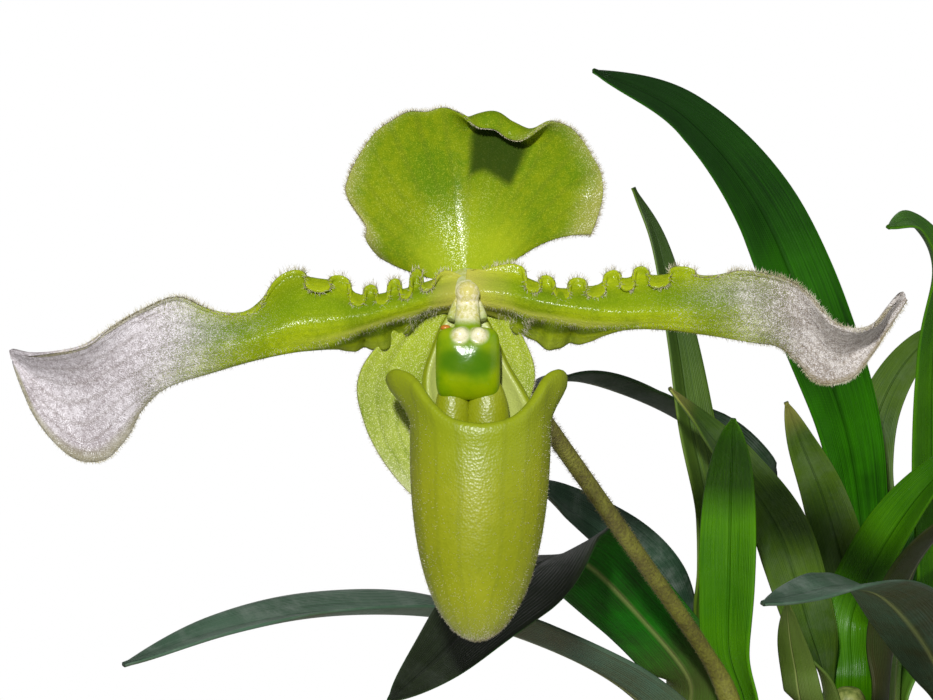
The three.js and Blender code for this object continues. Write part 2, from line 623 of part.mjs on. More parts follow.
// How far a place is into a tongue of the frill: 0 at the top of a knob and 1 in the middle of a tongue.
function hanging(marks, x) {
  let k = 0;
  while (k < marks.length - 2 && x > marks[k + 1]) k++;
  const part = clamp((x - marks[k]) / (marks[k + 1] - marks[k]), 0, 1);
  const turn = 0.5 - 0.5 * Math.cos(Math.PI * part);
  return k % 2 ? 1 - turn : turn;
}
function petalSurface(rows, marks) {
  const stations = rows[0].length - 1;
  const [fadeFrom, fadeTo] = PETAL.frillEnd;
  return (u, v) => {
    const line = rows.map((row) => throughPoints(row, u));
    const x = Math.abs(line[0].x);
    const down = hanging(marks, x);
    const tongue = down * (1 - smooth((x - fadeFrom) / (fadeTo - fadeFrom)));
    const knob = 1 - down;
    const far = smooth((x - PETAL.farStart) / (PETAL.farEnd - PETAL.farStart));
    const fade = smooth((u * stations) / 0.7) * (1 - smooth((u - 0.86) / 0.12));
    const y = FRILL.knob[0] * knob * (1 - far) + FRILL.tongue[0] * tongue + FRILL.far[0] * far;
    const rise = FRILL.knob[1] * knob * (1 - far * 0.5) + FRILL.tongue[1] * tongue + FRILL.far[1] * far;
    const edge = line[0].clone().add(new THREE.Vector3(0, y * fade, (rise + FRILL.rise) * fade));
    return throughPoints([edge, ...line].map((p) => [...p]), v);
  };
}
for (const [name, rows, marks] of [
  ["petal_right", PETAL_RIGHT, FRILL_RIGHT],
  ["petal_left", PETAL_LEFT, FRILL_LEFT],
]) {
  const surface = petalSurface(rows, marks);
  add(name, sheet(PETAL.along, PETAL.across, surface, () => PETAL.thick), "petal", flower);
}

// Each ray of the dorsal sepal is walked outward while its pitch turns forward, most at the hood.
function dorsalSurface(u, v) {
  const { centre, start, from, to, claw, lean, arch, hood, back } = DORSAL;
  const parts = 16;
  const phi = from + (to - from) * u;
  const reach = 1 - Math.pow(1 - v, 1.6);
  const side = Math.pow(phi / 66, 2);
  const angle = degToRad(phi * (1 + claw[phi > 0 ? 1 : 0] * side * Math.sin(Math.PI * reach)));
  const hooded = Math.exp(-Math.pow((phi - hood.middle) / hood.spread, 4));
  const length = through(DORSAL.rays, u) - start + hood.more * hooded;
  const step = (length * reach) / parts;
  let out = start;
  let forward = 0;
  for (let i = 0; i < parts; i++) {
    const s = (reach * (i + 0.5)) / parts;
    const bend = hooded * hood.bend * smooth((s - hood.from) / (1 - hood.from));
    const pitch = degToRad(lean + arch * s * s + bend);
    out += Math.cos(pitch) * step;
    forward += Math.sin(pitch) * step;
  }
  const ripple = Math.sin(degToRad(phi) * DORSAL.ripples + 0.6) * Math.pow(reach, 5) * (1 - hooded);
  const y = centre[1] - forward + back * side * reach * reach + DORSAL.wave * ripple;
  return new THREE.Vector3(centre[0] + out * Math.sin(angle), y, centre[2] + out * Math.cos(angle));
}
add("dorsal_sepal", sheet(32, 11, dorsalSurface, () => DORSAL.thick), "sepal", flower);

// The two lower sepals, grown together behind the pouch, with ribs that fade toward the tip.
function synsepalSurface(u, v) {
  const s = 2 * v - 1;
  const w = through(SYNSEPAL.half, u) * s;
  const y = SYNSEPAL.rib * Math.cos(s * Math.PI * 3) * (1 - u) - SYNSEPAL.cup * w * w;
  return throughPoints(SYNSEPAL.midrib, u).add(new THREE.Vector3(w, y, 0));
}
add("synsepal", sheet(9, 12, synsepalSurface, () => SYNSEPAL.thick), "sepal", flower);

// A point of the pouch: turn is 0 at its front, t runs from the rim down to the toe, and inset is how far
// inside the outer face it lies.
function pouchPoint(turn, t, inset) {
  const P = POUCH;
  const rim = through(P.rim, Math.abs(turn) / Math.PI);
  const bottom = P.bottom + inset;
  const z = rim + (bottom - rim) * (1 - Math.pow(1 - t, 1.8));
  const q = clamp((P.rimAt - z) / (P.rimAt - bottom), 0, 1);
  const above = Math.max(z - P.rimAt, 0);
  const round = Math.sqrt(Math.max(1 - Math.pow(q, P.power), 0));
  const inward = inset * Math.min(1, round * 3);
  const a = (P.half[0] + P.earFlare * smooth(above / P.ear)) * round - inward;
  const b = P.half[1] * round - inward;
  const claw = P.claw * smooth(above / P.clawHeight) * Math.pow(0.5 - 0.5 * Math.cos(turn), 2);
  const x = P.x + P.sway * q - claw + a * Math.sin(turn);
  return [x, P.y + P.lean * q + above * 0.1 - b * Math.cos(turn), z];
}
function pouchSolid() {
  const { around, down, wall } = POUCH;
  const rings = [];
  for (let k = 0; k <= down; k++) rings.push([k / down, 0]);
  for (let k = down; k >= 0; k--) rings.push([k / down, wall]);
  const positions = [];
  for (const [t, inset] of rings) {
    for (let j = 0; j < around; j++) {
      positions.push(...pouchPoint(-Math.PI + (2 * Math.PI * j) / around, t, inset));
    }
  }
  const index = [];
  for (let i = 0; i < rings.length; i++) {
    const next = (i + 1) % rings.length;
    if (i === down) continue; // the toe: the outer and the inner cup each end in a point
    for (let j = 0; j < around; j++) {
      const k = (j + 1) % around;
      const [a, b, c, d] = [i * around + j, i * around + k, next * around + k, next * around + j];
      index.push(a, b, c, a, c, d);
    }
  }
  return closed(positions, index);
}
add("lip_pouch", pouchSolid(), "lip", flower);

// Column: a short trunk, the white boss in front of it, and the shield that hangs over the pouch
function columnSolid() {
  const { trunk, boss, neck, shield, bumps, wings } = COLUMN;
  const core = new THREE.CylinderGeometry(trunk.radius, trunk.radius, trunk.to - trunk.from, 20);
  core.translate(trunk.at[0], (trunk.from + trunk.to) / 2, trunk.at[1]);
  const plate = new THREE.SphereGeometry(1, 18, 12);
  const position = plate.attributes.position;
  for (let i = 0; i < position.count; i++) {
    const p = new THREE.Vector3().fromBufferAttribute(position, i);
    const box = Math.pow(p.x ** 4 + p.y ** 4 + p.z ** 4, 0.25);
    p.multiplyScalar(1 - shield.square + shield.square / box);
    p.x *= 1 - shield.narrow * p.z;
    position.setXYZ(i, ...p.multiply(vector(shield.half)).add(vector(shield.at)));
  }
  const neckRadius = (t) => neck.radii[0] + (neck.radii[1] - neck.radii[0]) * t;
  const solids = [
    core,
    plate,
    ball(boss.half, 12, boss.at),
    rod(neck.points, neckRadius, 4, 12).scale(neck.stretch, 1, 1).translate(neck.x, 0, 0),
    ...bumps.x.map((x) => ball(bumps.half, 10, [x, bumps.y, bumps.z])),
    ...[-1, 1].map((side) => {
      const points = wings.points.map(([x, y, z]) => [wings.x + side * x, y, z]);
      return rod(points, () => wings.radius, 3, 8);
    }),
  ];
  return wasm.Manifold.union(solids.map(toSolid));
}
add("column", toGeometry(columnSolid()), "column", flower);

export default root;
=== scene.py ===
# %% [markdown]
# # A potted slipper orchid
#
# This lesson dresses a plain CAD model of an orchid in a clay pot. Every piece is worked out again as a
# finer surface from the same measurements, so it lies just where the CAD piece does. Everything is
# written in millimetres and becomes metres when a mesh is made.

import bpy
import numpy as np
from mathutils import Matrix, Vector


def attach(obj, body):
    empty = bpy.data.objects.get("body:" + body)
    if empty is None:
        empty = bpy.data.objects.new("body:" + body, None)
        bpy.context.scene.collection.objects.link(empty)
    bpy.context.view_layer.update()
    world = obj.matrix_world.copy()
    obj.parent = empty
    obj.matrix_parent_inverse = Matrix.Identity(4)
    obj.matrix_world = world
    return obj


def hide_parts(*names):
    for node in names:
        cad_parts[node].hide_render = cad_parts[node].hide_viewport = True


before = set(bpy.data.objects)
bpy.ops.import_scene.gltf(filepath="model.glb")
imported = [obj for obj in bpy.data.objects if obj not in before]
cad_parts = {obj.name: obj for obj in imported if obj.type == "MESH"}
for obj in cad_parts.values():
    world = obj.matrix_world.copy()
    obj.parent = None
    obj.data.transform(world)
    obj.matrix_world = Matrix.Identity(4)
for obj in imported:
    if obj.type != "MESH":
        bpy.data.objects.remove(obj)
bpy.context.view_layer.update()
print("CAD nodes:", len(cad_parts))


def linked(name, data):
    """An object for a mesh, a lamp or a camera, linked to the scene."""
    made = bpy.data.objects.new(name, data)
    bpy.context.scene.collection.objects.link(made)
    return made


# %% [markdown]
# ## The camera
#
# The flower is seen from straight in front, a little from above. A long lens keeps the leaves behind it
# from looking small. The camera comes first, so that each new piece can be looked at as it is made.

# %% Camera
TILT = np.radians(12)
FLOWER_AT = np.array([-63.0, -105.0, 227.0])
UP_IN_VIEW = np.array([0, np.sin(TILT), np.cos(TILT)])
INTO_VIEW = np.array([0, np.cos(TILT), -np.sin(TILT)])
CAMERA_DISTANCE = 420
AIM_LEFT = 0.3
AIM_BELOW = 7.25
camera_data = bpy.data.cameras.new("camera")
camera_data.lens = 111.76
camera_data.sensor_width = 36
camera = linked("camera", camera_data)
camera_at = FLOWER_AT - [AIM_LEFT, 0, 0] - AIM_BELOW * UP_IN_VIEW - CAMERA_DISTANCE * INTO_VIEW
camera.location = camera_at / 1000
camera.rotation_euler = (np.pi / 2 - TILT, 0, 0)
bpy.context.scene.camera = camera
print("camera at", np.round(camera_at, 1))

# %% [markdown]
# ## Smooth lines through a few points
#
# A leaf's midrib or the edge of a petal is known at a handful of points. A Catmull-Rom line passes
# through each of them, and each stretch depends on only four, so moving one point stays a local change.
# A Bezier curve object would do as well, but an array answers for thousands of places at once.


# %% Smooth lines
def smooth(x):
    """Three x squared minus two x cubed, held between 0 and 1: a ramp that starts and ends gently."""
    x = np.clip(x, 0, 1)
    return x * x * (3 - 2 * x)


def through(values, t):
    """The Catmull-Rom line through equally spaced values, at t from 0 to 1. Values may be points."""
    values = np.asarray(values, float)
    padded = np.concatenate([[2 * values[0] - values[1]], values, [2 * values[-1] - values[-2]]])
    place = np.clip(t, 0, 1) * (len(values) - 1)
    i = np.minimum(place.astype(int), len(values) - 2)
    u = place - i
    if values.ndim > 1:
        u = u[..., None]
    a, b, c, d = (padded[i + k] for k in range(4))
    cubic = 3 * b - a - 3 * c + d
    return 0.5 * (2 * b + (c - a) * u + (2 * a - 5 * b + 4 * c - d) * u**2 + cubic * u**3)


def unit(vectors):
    """Each vector divided by its own length."""
    return vectors / np.maximum(np.linalg.norm(vectors, axis=-1, keepdims=True), 1e-12)


class Line:
    """A smooth line through points, read by the share of its length."""

    def __init__(self, points):
        self.points = np.asarray(points, float)
        self.fine = np.linspace(0, 1, 201)
        steps = np.linalg.norm(np.diff(through(self.points, self.fine), axis=0), axis=1)
        self.travel = np.concatenate([[0], np.cumsum(steps)])
        self.length = self.travel[-1]

    def _t(self, share):
        return np.interp(share, self.travel / self.length, self.fine)

    def at(self, share):
        return through(self.points, self._t(share))

    def along(self, share):
        t = self._t(share)
        before = through(self.points, np.clip(t - 1e-4, 0, 1))
        return unit(through(self.points, np.clip(t + 1e-4, 0, 1)) - before)


# %% [markdown]
# ## From arrays to meshes
#
# A sheet is a grid of points. It gets its thickness by moving a copy of the grid along its normals to
# either side, with a strip of faces round the edge, so it is a closed body that can be printed. Blender's
# Solidify modifier does the same, but here the two faces can also be told apart later by their paint.


# %% Mesh builders
def normals_of(grid):
    """The cross product of the two grid directions at each point, made one unit long."""
    return unit(np.cross(np.gradient(grid, axis=0), np.gradient(grid, axis=1)))


def band(rows, columns, wrap=False):
    """The quads between neighbouring rows of a numbered grid; wrap joins the last column to the first."""
    index = np.arange(rows * columns).reshape(rows, columns)
    if wrap:
        index = np.concatenate([index, index[:, :1]], axis=1)
    return np.stack([index[:-1, :-1], index[1:, :-1], index[1:, 1:], index[:-1, 1:]], -1).reshape(-1, 4)


def capped(rings, sides):
    """The quads of closed rings, and a fan at each end that meets in one of the two points after them."""
    count = rings * sides
    ring = np.arange(sides)
    after = np.roll(ring, -1)
    first = np.stack([np.full(sides, count), after, ring], -1)
    last = np.stack([np.full(sides, count + 1), ring, after], -1)
    last[:, 1:] += count - sides
    return [band(rings, sides, wrap=True)[:, ::-1], first, last]


def sheet(grid, thick):
    """Two copies of a grid, half of thick to either side along its normals, and quads round the edge."""
    rows, columns = grid.shape[:2]
    shift = normals_of(grid) * np.broadcast_to(thick, grid.shape[:2])[..., None] / 2
    points = np.concatenate([(grid + shift).reshape(-1, 3), (grid - shift).reshape(-1, 3)])
    top = band(rows, columns)
    count = rows * columns
    index = np.arange(count).reshape(rows, columns)
    edge = np.concatenate([index[:, 0], index[-1, 1:], index[-2::-1, -1], index[0, -2:0:-1]])
    turn = np.roll(edge, -1)
    strip = np.stack([edge, edge + count, turn + count, turn], -1)
    return points, np.concatenate([top, top[:, ::-1] + count, strip])


def tube(line, radius, rings, sides, ribs=None):
    """Rings of radius(share) square to a line, each ring turned to the same side, with a fan at each end."""
    share = np.linspace(0, 1, rings)
    centre = line.at(share)
    along = line.along(share)
    out = unit(np.cross(along, [0.31, 0.2, 0.93]))
    side = np.cross(along, out)
    turn = np.linspace(0, 2 * np.pi, sides, endpoint=False)
    r = radius(share)[:, None] * (1 + (ribs(share[:, None], turn) if ribs else 0))
    spoke = out[:, None] * np.cos(turn)[:, None] + side[:, None] * np.sin(turn)[:, None]
    points = (centre[:, None] + spoke * r[..., None]).reshape(-1, 3)
    ends = np.array([points[:sides].mean(0), points[-sides:].mean(0)])
    return np.concatenate([points, ends]), capped(rings, sides)


def lathe(profile, sides):
    """A profile of radius and height carried round the z axis, from the axis back to the axis."""
    profile = np.asarray(profile, float)
    turn = np.linspace(0, 2 * np.pi, sides, endpoint=False)
    ring = profile[1:-1]
    circle = np.stack([np.cos(turn), np.sin(turn)], -1)
    body = np.concatenate([ring[:, None, :1] * circle, np.repeat(ring[:, None, 1:], sides, 1)], -1)
    points = np.concatenate([body.reshape(-1, 3), [[0, 0, profile[0, 1]], [0, 0, profile[-1, 1]]]])
    return points, capped(len(body), sides)


def mesh_of(name, points, faces):
    """A mesh from points in millimetres and one array of faces, or a list of such arrays."""
    groups = faces if isinstance(faces, list) else [faces]
    mesh = bpy.data.meshes.new(name)
    mesh.from_pydata(np.asarray(points) / 1000, [], [face for group in groups for face in group.tolist()])
    return mesh


def piece(name, points, faces, finish, slot, replaces=(), uv=None, soft=True, **marks):
    """Makes one object from points in millimetres; uv and marks hold one value for each point."""
    mesh = mesh_of(name, points, faces)
    corner = np.empty(len(mesh.loops), np.int32)
    mesh.loops.foreach_get("vertex_index", corner)
    if uv is not None:
        layer = mesh.uv_layers.new(name="UVMap")
        layer.data.foreach_set("uv", np.asarray(uv, np.float32)[corner].ravel())
    for key, values in marks.items():
        mark = mesh.attributes.new(key, "FLOAT", "POINT")
        mark.data.foreach_set("value", np.asarray(values, np.float32))
    mesh.polygons.foreach_set("use_smooth", np.full(len(mesh.polygons), soft))
    mesh.materials.append(finish)
    made = linked(name, mesh)
    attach(made, "root")
    if replaces:
        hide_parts(*replaces)
    print(f"{name}: {len(mesh.polygons)} faces")
    return made


def net(shape):
    """The two parameters of a sheet: u down its rows, and v across its columns."""
    return np.linspace(0, 1, shape["rows"])[:, None], np.linspace(0, 1, shape["columns"])


def grid_uv(rows, columns):
    """The two parameters of a grid, each from 0 to 1, for both faces of a sheet."""
    u, v = np.meshgrid(np.linspace(0, 1, rows), np.linspace(0, 1, columns), indexing="ij")
    return np.tile(np.stack([u, v], -1).reshape(-1, 2), (2, 1))


# %% [markdown]
# ## Shader maths as plain expressions
#
# A material that varies over a surface needs arithmetic on positions and masks. Adding each Math node by
# hand hides the formula, so a small class stands for one output of a node, and every operator on it adds
# the node that does the sum. The formulas below then read as formulas.


# %% Shader helpers
class Value:
    """One output socket of a node. Arithmetic on it adds Math nodes."""

    def __init__(self, finish, socket):
        self.finish = finish
        self.socket = socket

    def _math(self, operation, first, second=0.0):
        return self.finish.node("Math", {"operation": operation}, {0: first, 1: second})

    def __add__(self, other):
        return self._math("ADD", self, other)

    def __sub__(self, other):
        return self._math("SUBTRACT", self, other)

    def __rsub__(self, other):
        return self._math("SUBTRACT", other, self)

    def __mul__(self, other):
        return self._math("MULTIPLY", self, other)

    __radd__ = __add__
    __rmul__ = __mul__

    def abs(self):
        return self._math("ABSOLUTE", self)

    def sine(self):
        return self._math("SINE", self)

    def ramp(self, low, high):
        """A gentle ramp from 0 at low to 1 at high."""
        settings = {"interpolation_type": "SMOOTHSTEP"}
        return self.finish.node("MapRange", settings, {"Value": self, "From Min": low, "From Max": high})


def paint(text):
    """A colour written as six hexadecimal digits, turned from display values into linear light."""
    c = np.array([int(text[k : k + 2], 16) for k in (0, 2, 4)]) / 255
    return (*np.where(c <= 0.04045, c / 12.92, ((c + 0.055) / 1.055) ** 2.4), 1.0)


class Finish:
    """A material whose nodes are added by code, round Blender's Principled shader."""

    def __init__(self, name, roughness, shine=0.5):
        self.material = bpy.data.materials.new(name)
        self.material.use_nodes = True
        self.tree = self.material.node_tree
        self.shader = self.tree.nodes["Principled BSDF"]
        self.shader.inputs["Roughness"].default_value = roughness
        self.shader.inputs["Specular IOR Level"].default_value = shine

    def node(self, kind, settings, sockets, output=0):
        """Any node: its settings first, then the values or links of its sockets."""
        made = self.tree.nodes.new("ShaderNode" + kind)
        for key, value in settings.items():
            if key == "stops":
                self._stops(made.color_ramp, value)
            else:
                setattr(made, key, value)
        for key, value in sockets.items():
            self.put(made.inputs[key], value)
        return Value(self, made.outputs[output])

    def _stops(self, ramp, stops):
        while len(ramp.elements) < len(stops):
            ramp.elements.new(0.5)
        for element, (place, colour) in zip(ramp.elements, stops):
            element.position = place
            element.color = paint(colour)

    def put(self, socket, value):
        if isinstance(value, Value):
            self.tree.links.new(value.socket, socket)
        elif isinstance(value, str):
            socket.default_value = paint(value)
        else:
            socket.default_value = value

    def mix(self, share, first, second):
        return self.node("Mix", {"data_type": "RGBA"}, {0: share, 6: first, 7: second}, output=2)

    def layered(self, base, *layers):
        """Lays each colour over what is below it, by its own share."""
        for share, colour in layers:
            base = self.mix(share, base, colour)
        return base

    def gradient(self, value, stops):
        return self.node("ValToRGB", {"stops": stops}, {0: value})

    def mark(self, name):
        return self.node("Attribute", {"attribute_name": name}, {}, output=2)

    def uv(self):
        """The piece's two parameters and the vector that holds them."""
        vector = self.node("UVMap", {"uv_map": "UVMap"}, {})
        split = self.node("SeparateXYZ", {}, {0: vector})
        return split, Value(self, split.socket.node.outputs[1]), vector

    def place(self):
        """Where a point is on the object, in metres."""
        return self.node("TexCoord", {}, {}, output=3)

    def stretched(self, vector, scale):
        return self.node("Mapping", {}, {"Vector": vector, "Scale": scale})

    def noise(self, vector, scale, detail=3.0, roughness=0.5):
        sockets = {"Vector": vector, "Scale": scale, "Detail": detail, "Roughness": roughness}
        return self.node("TexNoise", {}, sockets)

    def cells(self, vector, scale):
        return self.node("TexVoronoi", {}, {"Vector": vector, "Scale": scale})

    def glaze(self, value, roughness):
        """A clear wet layer over the surface, from 0 to 1."""
        self.put(self.shader.inputs["Coat Weight"], value)
        self.shader.inputs["Coat Roughness"].default_value = roughness

    def relief(self, height, distance):
        """Raises the surface by height times distance, in metres, as far as shading can show it."""
        bump = self.node("Bump", {}, {"Height": height, "Distance": distance, "Strength": 1.0})
        self.put(self.shader.inputs["Normal"], bump)

    def colour(self, value):
        self.put(self.shader.inputs["Base Color"], value)

    def rough(self, value):
        self.put(self.shader.inputs["Roughness"], value)


# %% [markdown]
# ## The pot
#
# A clay flowerpot is thrown or pressed as a solid of revolution, so a profile carried round the z axis
# gives it exactly. The rim band hides the stacking ledge. The holes in its floor are cut afterwards with
# a Boolean modifier, because a lathe can't make them.

# %% Pot shape
GAP = 0.3
SOIL = 92
POT = {"foot": 43, "shoulder": 56, "rim": 60, "height": 100, "band": 20, "wall": 5, "floor": 7}
DRAIN = {"holes": 5, "radius": 4, "circle": 26}
UNDER = POT["height"] - POT["band"]


def pot_outside(z):
    """The radius grows evenly from the foot to the shoulder under the rim band."""
    return POT["foot"] + (POT["shoulder"] - POT["foot"]) * z / UNDER


def pot_inside(z):
    """The outer radius less the wall, a little wider toward the rim."""
    return pot_outside(min(z, UNDER)) - POT["wall"] + max(0, z - UNDER) * 0.12


def evaluated(points, faces, change):
    """Makes a passing object, lets change add modifiers to it, and returns its points and triangles."""
    passing = linked("passing", mesh_of("passing", points, faces))
    change(passing)
    bpy.context.view_layer.update()
    done = passing.evaluated_get(bpy.context.evaluated_depsgraph_get()).to_mesh()
    done.calc_loop_triangles()
    found = np.empty(len(done.vertices) * 3)
    triangles = np.empty(len(done.loop_triangles) * 3, np.int32)
    done.vertices.foreach_get("co", found)
    done.loop_triangles.foreach_get("vertices", triangles)
    bpy.data.objects.remove(passing)
    return found.reshape(-1, 3) * 1000, triangles.reshape(-1, 3)


def pot_profile():
    """The outline of the wall, from the middle of the underside up, over the rim and down inside."""
    outer = [[0, 0], [POT["foot"] - 1.5, 0], [POT["foot"] - 0.4, 0.4], [POT["foot"], 1.5]]
    outer += [[pot_outside(z), z] for z in np.linspace(6, UNDER - 1.5, 14)]
    lip = [[pot_outside(UNDER), UNDER], [POT["rim"] - 1.6, UNDER + 0.6], [POT["rim"] - 0.8, UNDER + 2]]
    lip += [[POT["rim"] - 0.3, UNDER + 9], [POT["rim"], POT["height"] - 1.5]]
    lip += [[POT["rim"] - 0.4, POT["height"] - 0.4], [POT["rim"] - 1.2, POT["height"]]]
    top = pot_inside(POT["height"])
    inner = [[top + 1.2, POT["height"]], [top + 0.3, POT["height"] - 0.4], [top, POT["height"] - 1.2]]
    inner += [[pot_inside(z), z] for z in (UNDER, 60, 40, 20, POT["floor"] + 3)]
    return outer + lip + inner + [[pot_inside(POT["floor"]) - 3, POT["floor"]], [0, POT["floor"]]]


def drilled(pot):
    """Takes a ring of upright rods out of the floor."""
    turn = np.arange(DRAIN["holes"]) * 2 * np.pi / DRAIN["holes"]
    drills = []
    for x, y in zip(DRAIN["circle"] * np.cos(turn), DRAIN["circle"] * np.sin(turn)):
        profile = [[0, -2], [DRAIN["radius"], -2], [DRAIN["radius"], POT["floor"] + 2], [0, POT["floor"] + 2]]
        rod, faces = lathe(profile, 24)
        drill = linked("drill", mesh_of("drill", rod + [x, y, 0], faces))
        cut = pot.modifiers.new("drill", "BOOLEAN")
        cut.object = drill
        cut.solver = "EXACT"
        drills.append(drill)
    return drills


drills = []
pot_points, pot_faces = evaluated(*lathe(pot_profile(), 128), lambda pot: drills.extend(drilled(pot)))
for drill in drills:
    bpy.data.objects.remove(drill)
print("pot:", len(pot_faces), "triangles")

# %% [markdown]
# ## Fired clay
#
# Clay keeps the fine rings of the wheel, and its colour drifts with the fire. Water leaves a pale bloom
# of lime, most toward the foot. All three follow the object's own coordinates, so no picture is needed.

# %% Clay
clay = Finish("fired_clay", roughness=0.85)
spot = clay.place()
height = clay.node("SeparateXYZ", {}, {0: spot}, output=2)
drift = clay.noise(spot, 35.0, 5.0)
grain = clay.noise(spot, 900.0, 2.0)
rings = (height * 2600.0 + drift * 9.0).sine()
lime = (clay.noise(spot, 60.0, 6.0, 0.65) - height * 1.2).ramp(0.5, 0.68)
fired = clay.gradient(drift, [(0.3, "8f4c2c"), (0.55, "ad6239"), (0.75, "bd7449")])
clay.colour(clay.mix(lime * 0.5, fired, "c9b29b"))
clay.rough(0.78 + grain * 0.15)
clay.relief(rings * 0.3 + grain + drift, 0.00015)
SHARP_EDGE = np.radians(35)
clay_pot = piece("clay_pot", pot_points, pot_faces, clay.material, "clay", ["pot"])
clay_pot.data.set_sharp_from_angle(angle=SHARP_EDGE)

# %% [markdown]
# ## Bark
#
# Slipper orchids grow in coarse bark. The body that fills the pot is turned on the lathe, and some
# hundreds of chips are strewn over its top. Each chip is the same small rounded block, stretched, made a
# little uneven and turned by a seeded draw, so one array holds them all.

# %% Bark
GROWTHS = {"a": (-15, -22), "b": (15, 29), "c": (30, -12), "d": (9, 5), "e": (-18, 3)}
CHIPS = {
    "tries": 2600, "most": 620, "ring": 47.5, "clear": 8.5, "smallest": 1.6, "range": 1.7, "uneven": 0.5,
    "tumble": (0.9, 0.9, 4 * np.pi), "lift": 0.3, "heap": 0.4322024699855, "seed": 41,
}
draw = np.random.default_rng(CHIPS["seed"])
cube = np.array([[x, y, z] for x in (-1, 0, 1) for y in (-1, 0, 1) for z in (-1, 0, 1)], float)
numbered = np.arange(27).reshape(3, 3, 3)
sides = [numbered[-1], numbered[0].T, numbered[:, 0], numbered[:, -1].T]
sides += [numbered[:, :, -1], numbered[:, :, 0].T]
block_faces = np.concatenate(
    [np.stack([s[:-1, :-1], s[1:, :-1], s[1:, 1:], s[:-1, 1:]], -1).reshape(-1, 4) for s in sides]
)
kept = np.flatnonzero(np.abs(cube).sum(1) > 0)
block = cube[kept] / np.linalg.norm(cube[kept], ord=5, axis=1, keepdims=True)
block_faces = np.searchsorted(kept, block_faces)


def turned(points, angles):
    """Turns each set of points by its own three angles, about x, then y, then z."""
    for axis, angle in enumerate(angles.T):
        i, j = [(1, 2), (2, 0), (0, 1)][axis]
        c, s = np.cos(angle)[:, None], np.sin(angle)[:, None]
        a, b = points[..., i].copy(), points[..., j].copy()
        points[..., i] = a * c - b * s
        points[..., j] = a * s + b * c
    return points


far = CHIPS["ring"] * np.sqrt(draw.random(CHIPS["tries"]))
turn = draw.random(CHIPS["tries"]) * 2 * np.pi
middles = np.stack([far * np.cos(turn), far * np.sin(turn)], -1)
nearest = np.min([np.hypot(*(middles - at).T) for at in GROWTHS.values()], axis=0)
middles = middles[nearest > CHIPS["clear"]][: CHIPS["most"]]
count = len(middles)
size = CHIPS["smallest"] + CHIPS["range"] * draw.random((count, 1, 1))
long, wide, high = 1.3 + draw.random(count), 0.8 + 0.5 * draw.random(count), 0.35 + 0.3 * draw.random(count)
shape = np.stack([long, wide, high], -1)
chips = block * shape[:, None] * size + (draw.random((count, len(block), 3)) - 0.5) * CHIPS["uneven"]
chips = turned(chips, (draw.random((count, 3)) - 0.5) * CHIPS["tumble"])
chips[..., :2] += middles[:, None]
chips[..., 2] += SOIL + CHIPS["lift"] + CHIPS["heap"] * draw.random((count, 1))
strewn = (block_faces + np.arange(count)[:, None, None] * len(block)).reshape(-1, 4)
fill_radius = pot_inside(SOIL) - GAP
bark_profile = [[0, POT["floor"] + GAP], [pot_inside(POT["floor"]) - 3.7, POT["floor"] + GAP]]
bark_profile += [[pot_inside(z) - GAP, z] for z in (POT["floor"] + 4, 30, 50, UNDER, SOIL - 0.6)]
bark_profile += [[fill_radius - 0.6, SOIL], [30, SOIL + 0.2], [0, SOIL + 0.2]]
fill_points, fill_faces = lathe(bark_profile, 96)
bark_points = np.concatenate([fill_points, chips.reshape(-1, 3)])
tone = np.concatenate([np.full(len(fill_points), 0.15), np.repeat(draw.random(count), len(block))])

bark = Finish("pine_bark", roughness=0.9)
spot = bark.place()
layers = bark.noise(bark.stretched(spot, (1.0, 1.0, 3.0)), 420.0, 6.0, 0.7)
pick = bark.mark("tone")
brown = bark.gradient(pick, [(0.0, "2b1c12"), (0.4, "4b3020"), (0.7, "6b4830"), (1.0, "8a6a4a")])
bark.colour(bark.mix(layers.ramp(0.35, 0.7), bark.mix(0.55, brown, "140d08"), brown))
bark.relief(layers, 0.0006)
bark_faces = [*fill_faces, strewn + len(fill_points)]
piece("bark_chips", bark_points, bark_faces, bark.material, "bark", ["bark_mix"], soft=False, tone=tone)

# %% [markdown]
# ## Leaves
#
# A strap leaf clasps its growth in a sleeve, then opens into a shallow V on either side of the midrib.
# Its surface is the midrib line plus a walk to each side, where the slope turns gradually from the
# sleeve's circle into the V. The same formula makes all of them, and each leaf only has its own row.
#
# A row gives the growth, its heading in degrees, its rank among the nested sleeves, the height of its
# sleeve, its width, its fold in degrees, how bluntly it tapers, and its skin. The points of its midrib
# follow, and then the way its upper side looks: a share of the length and a direction.

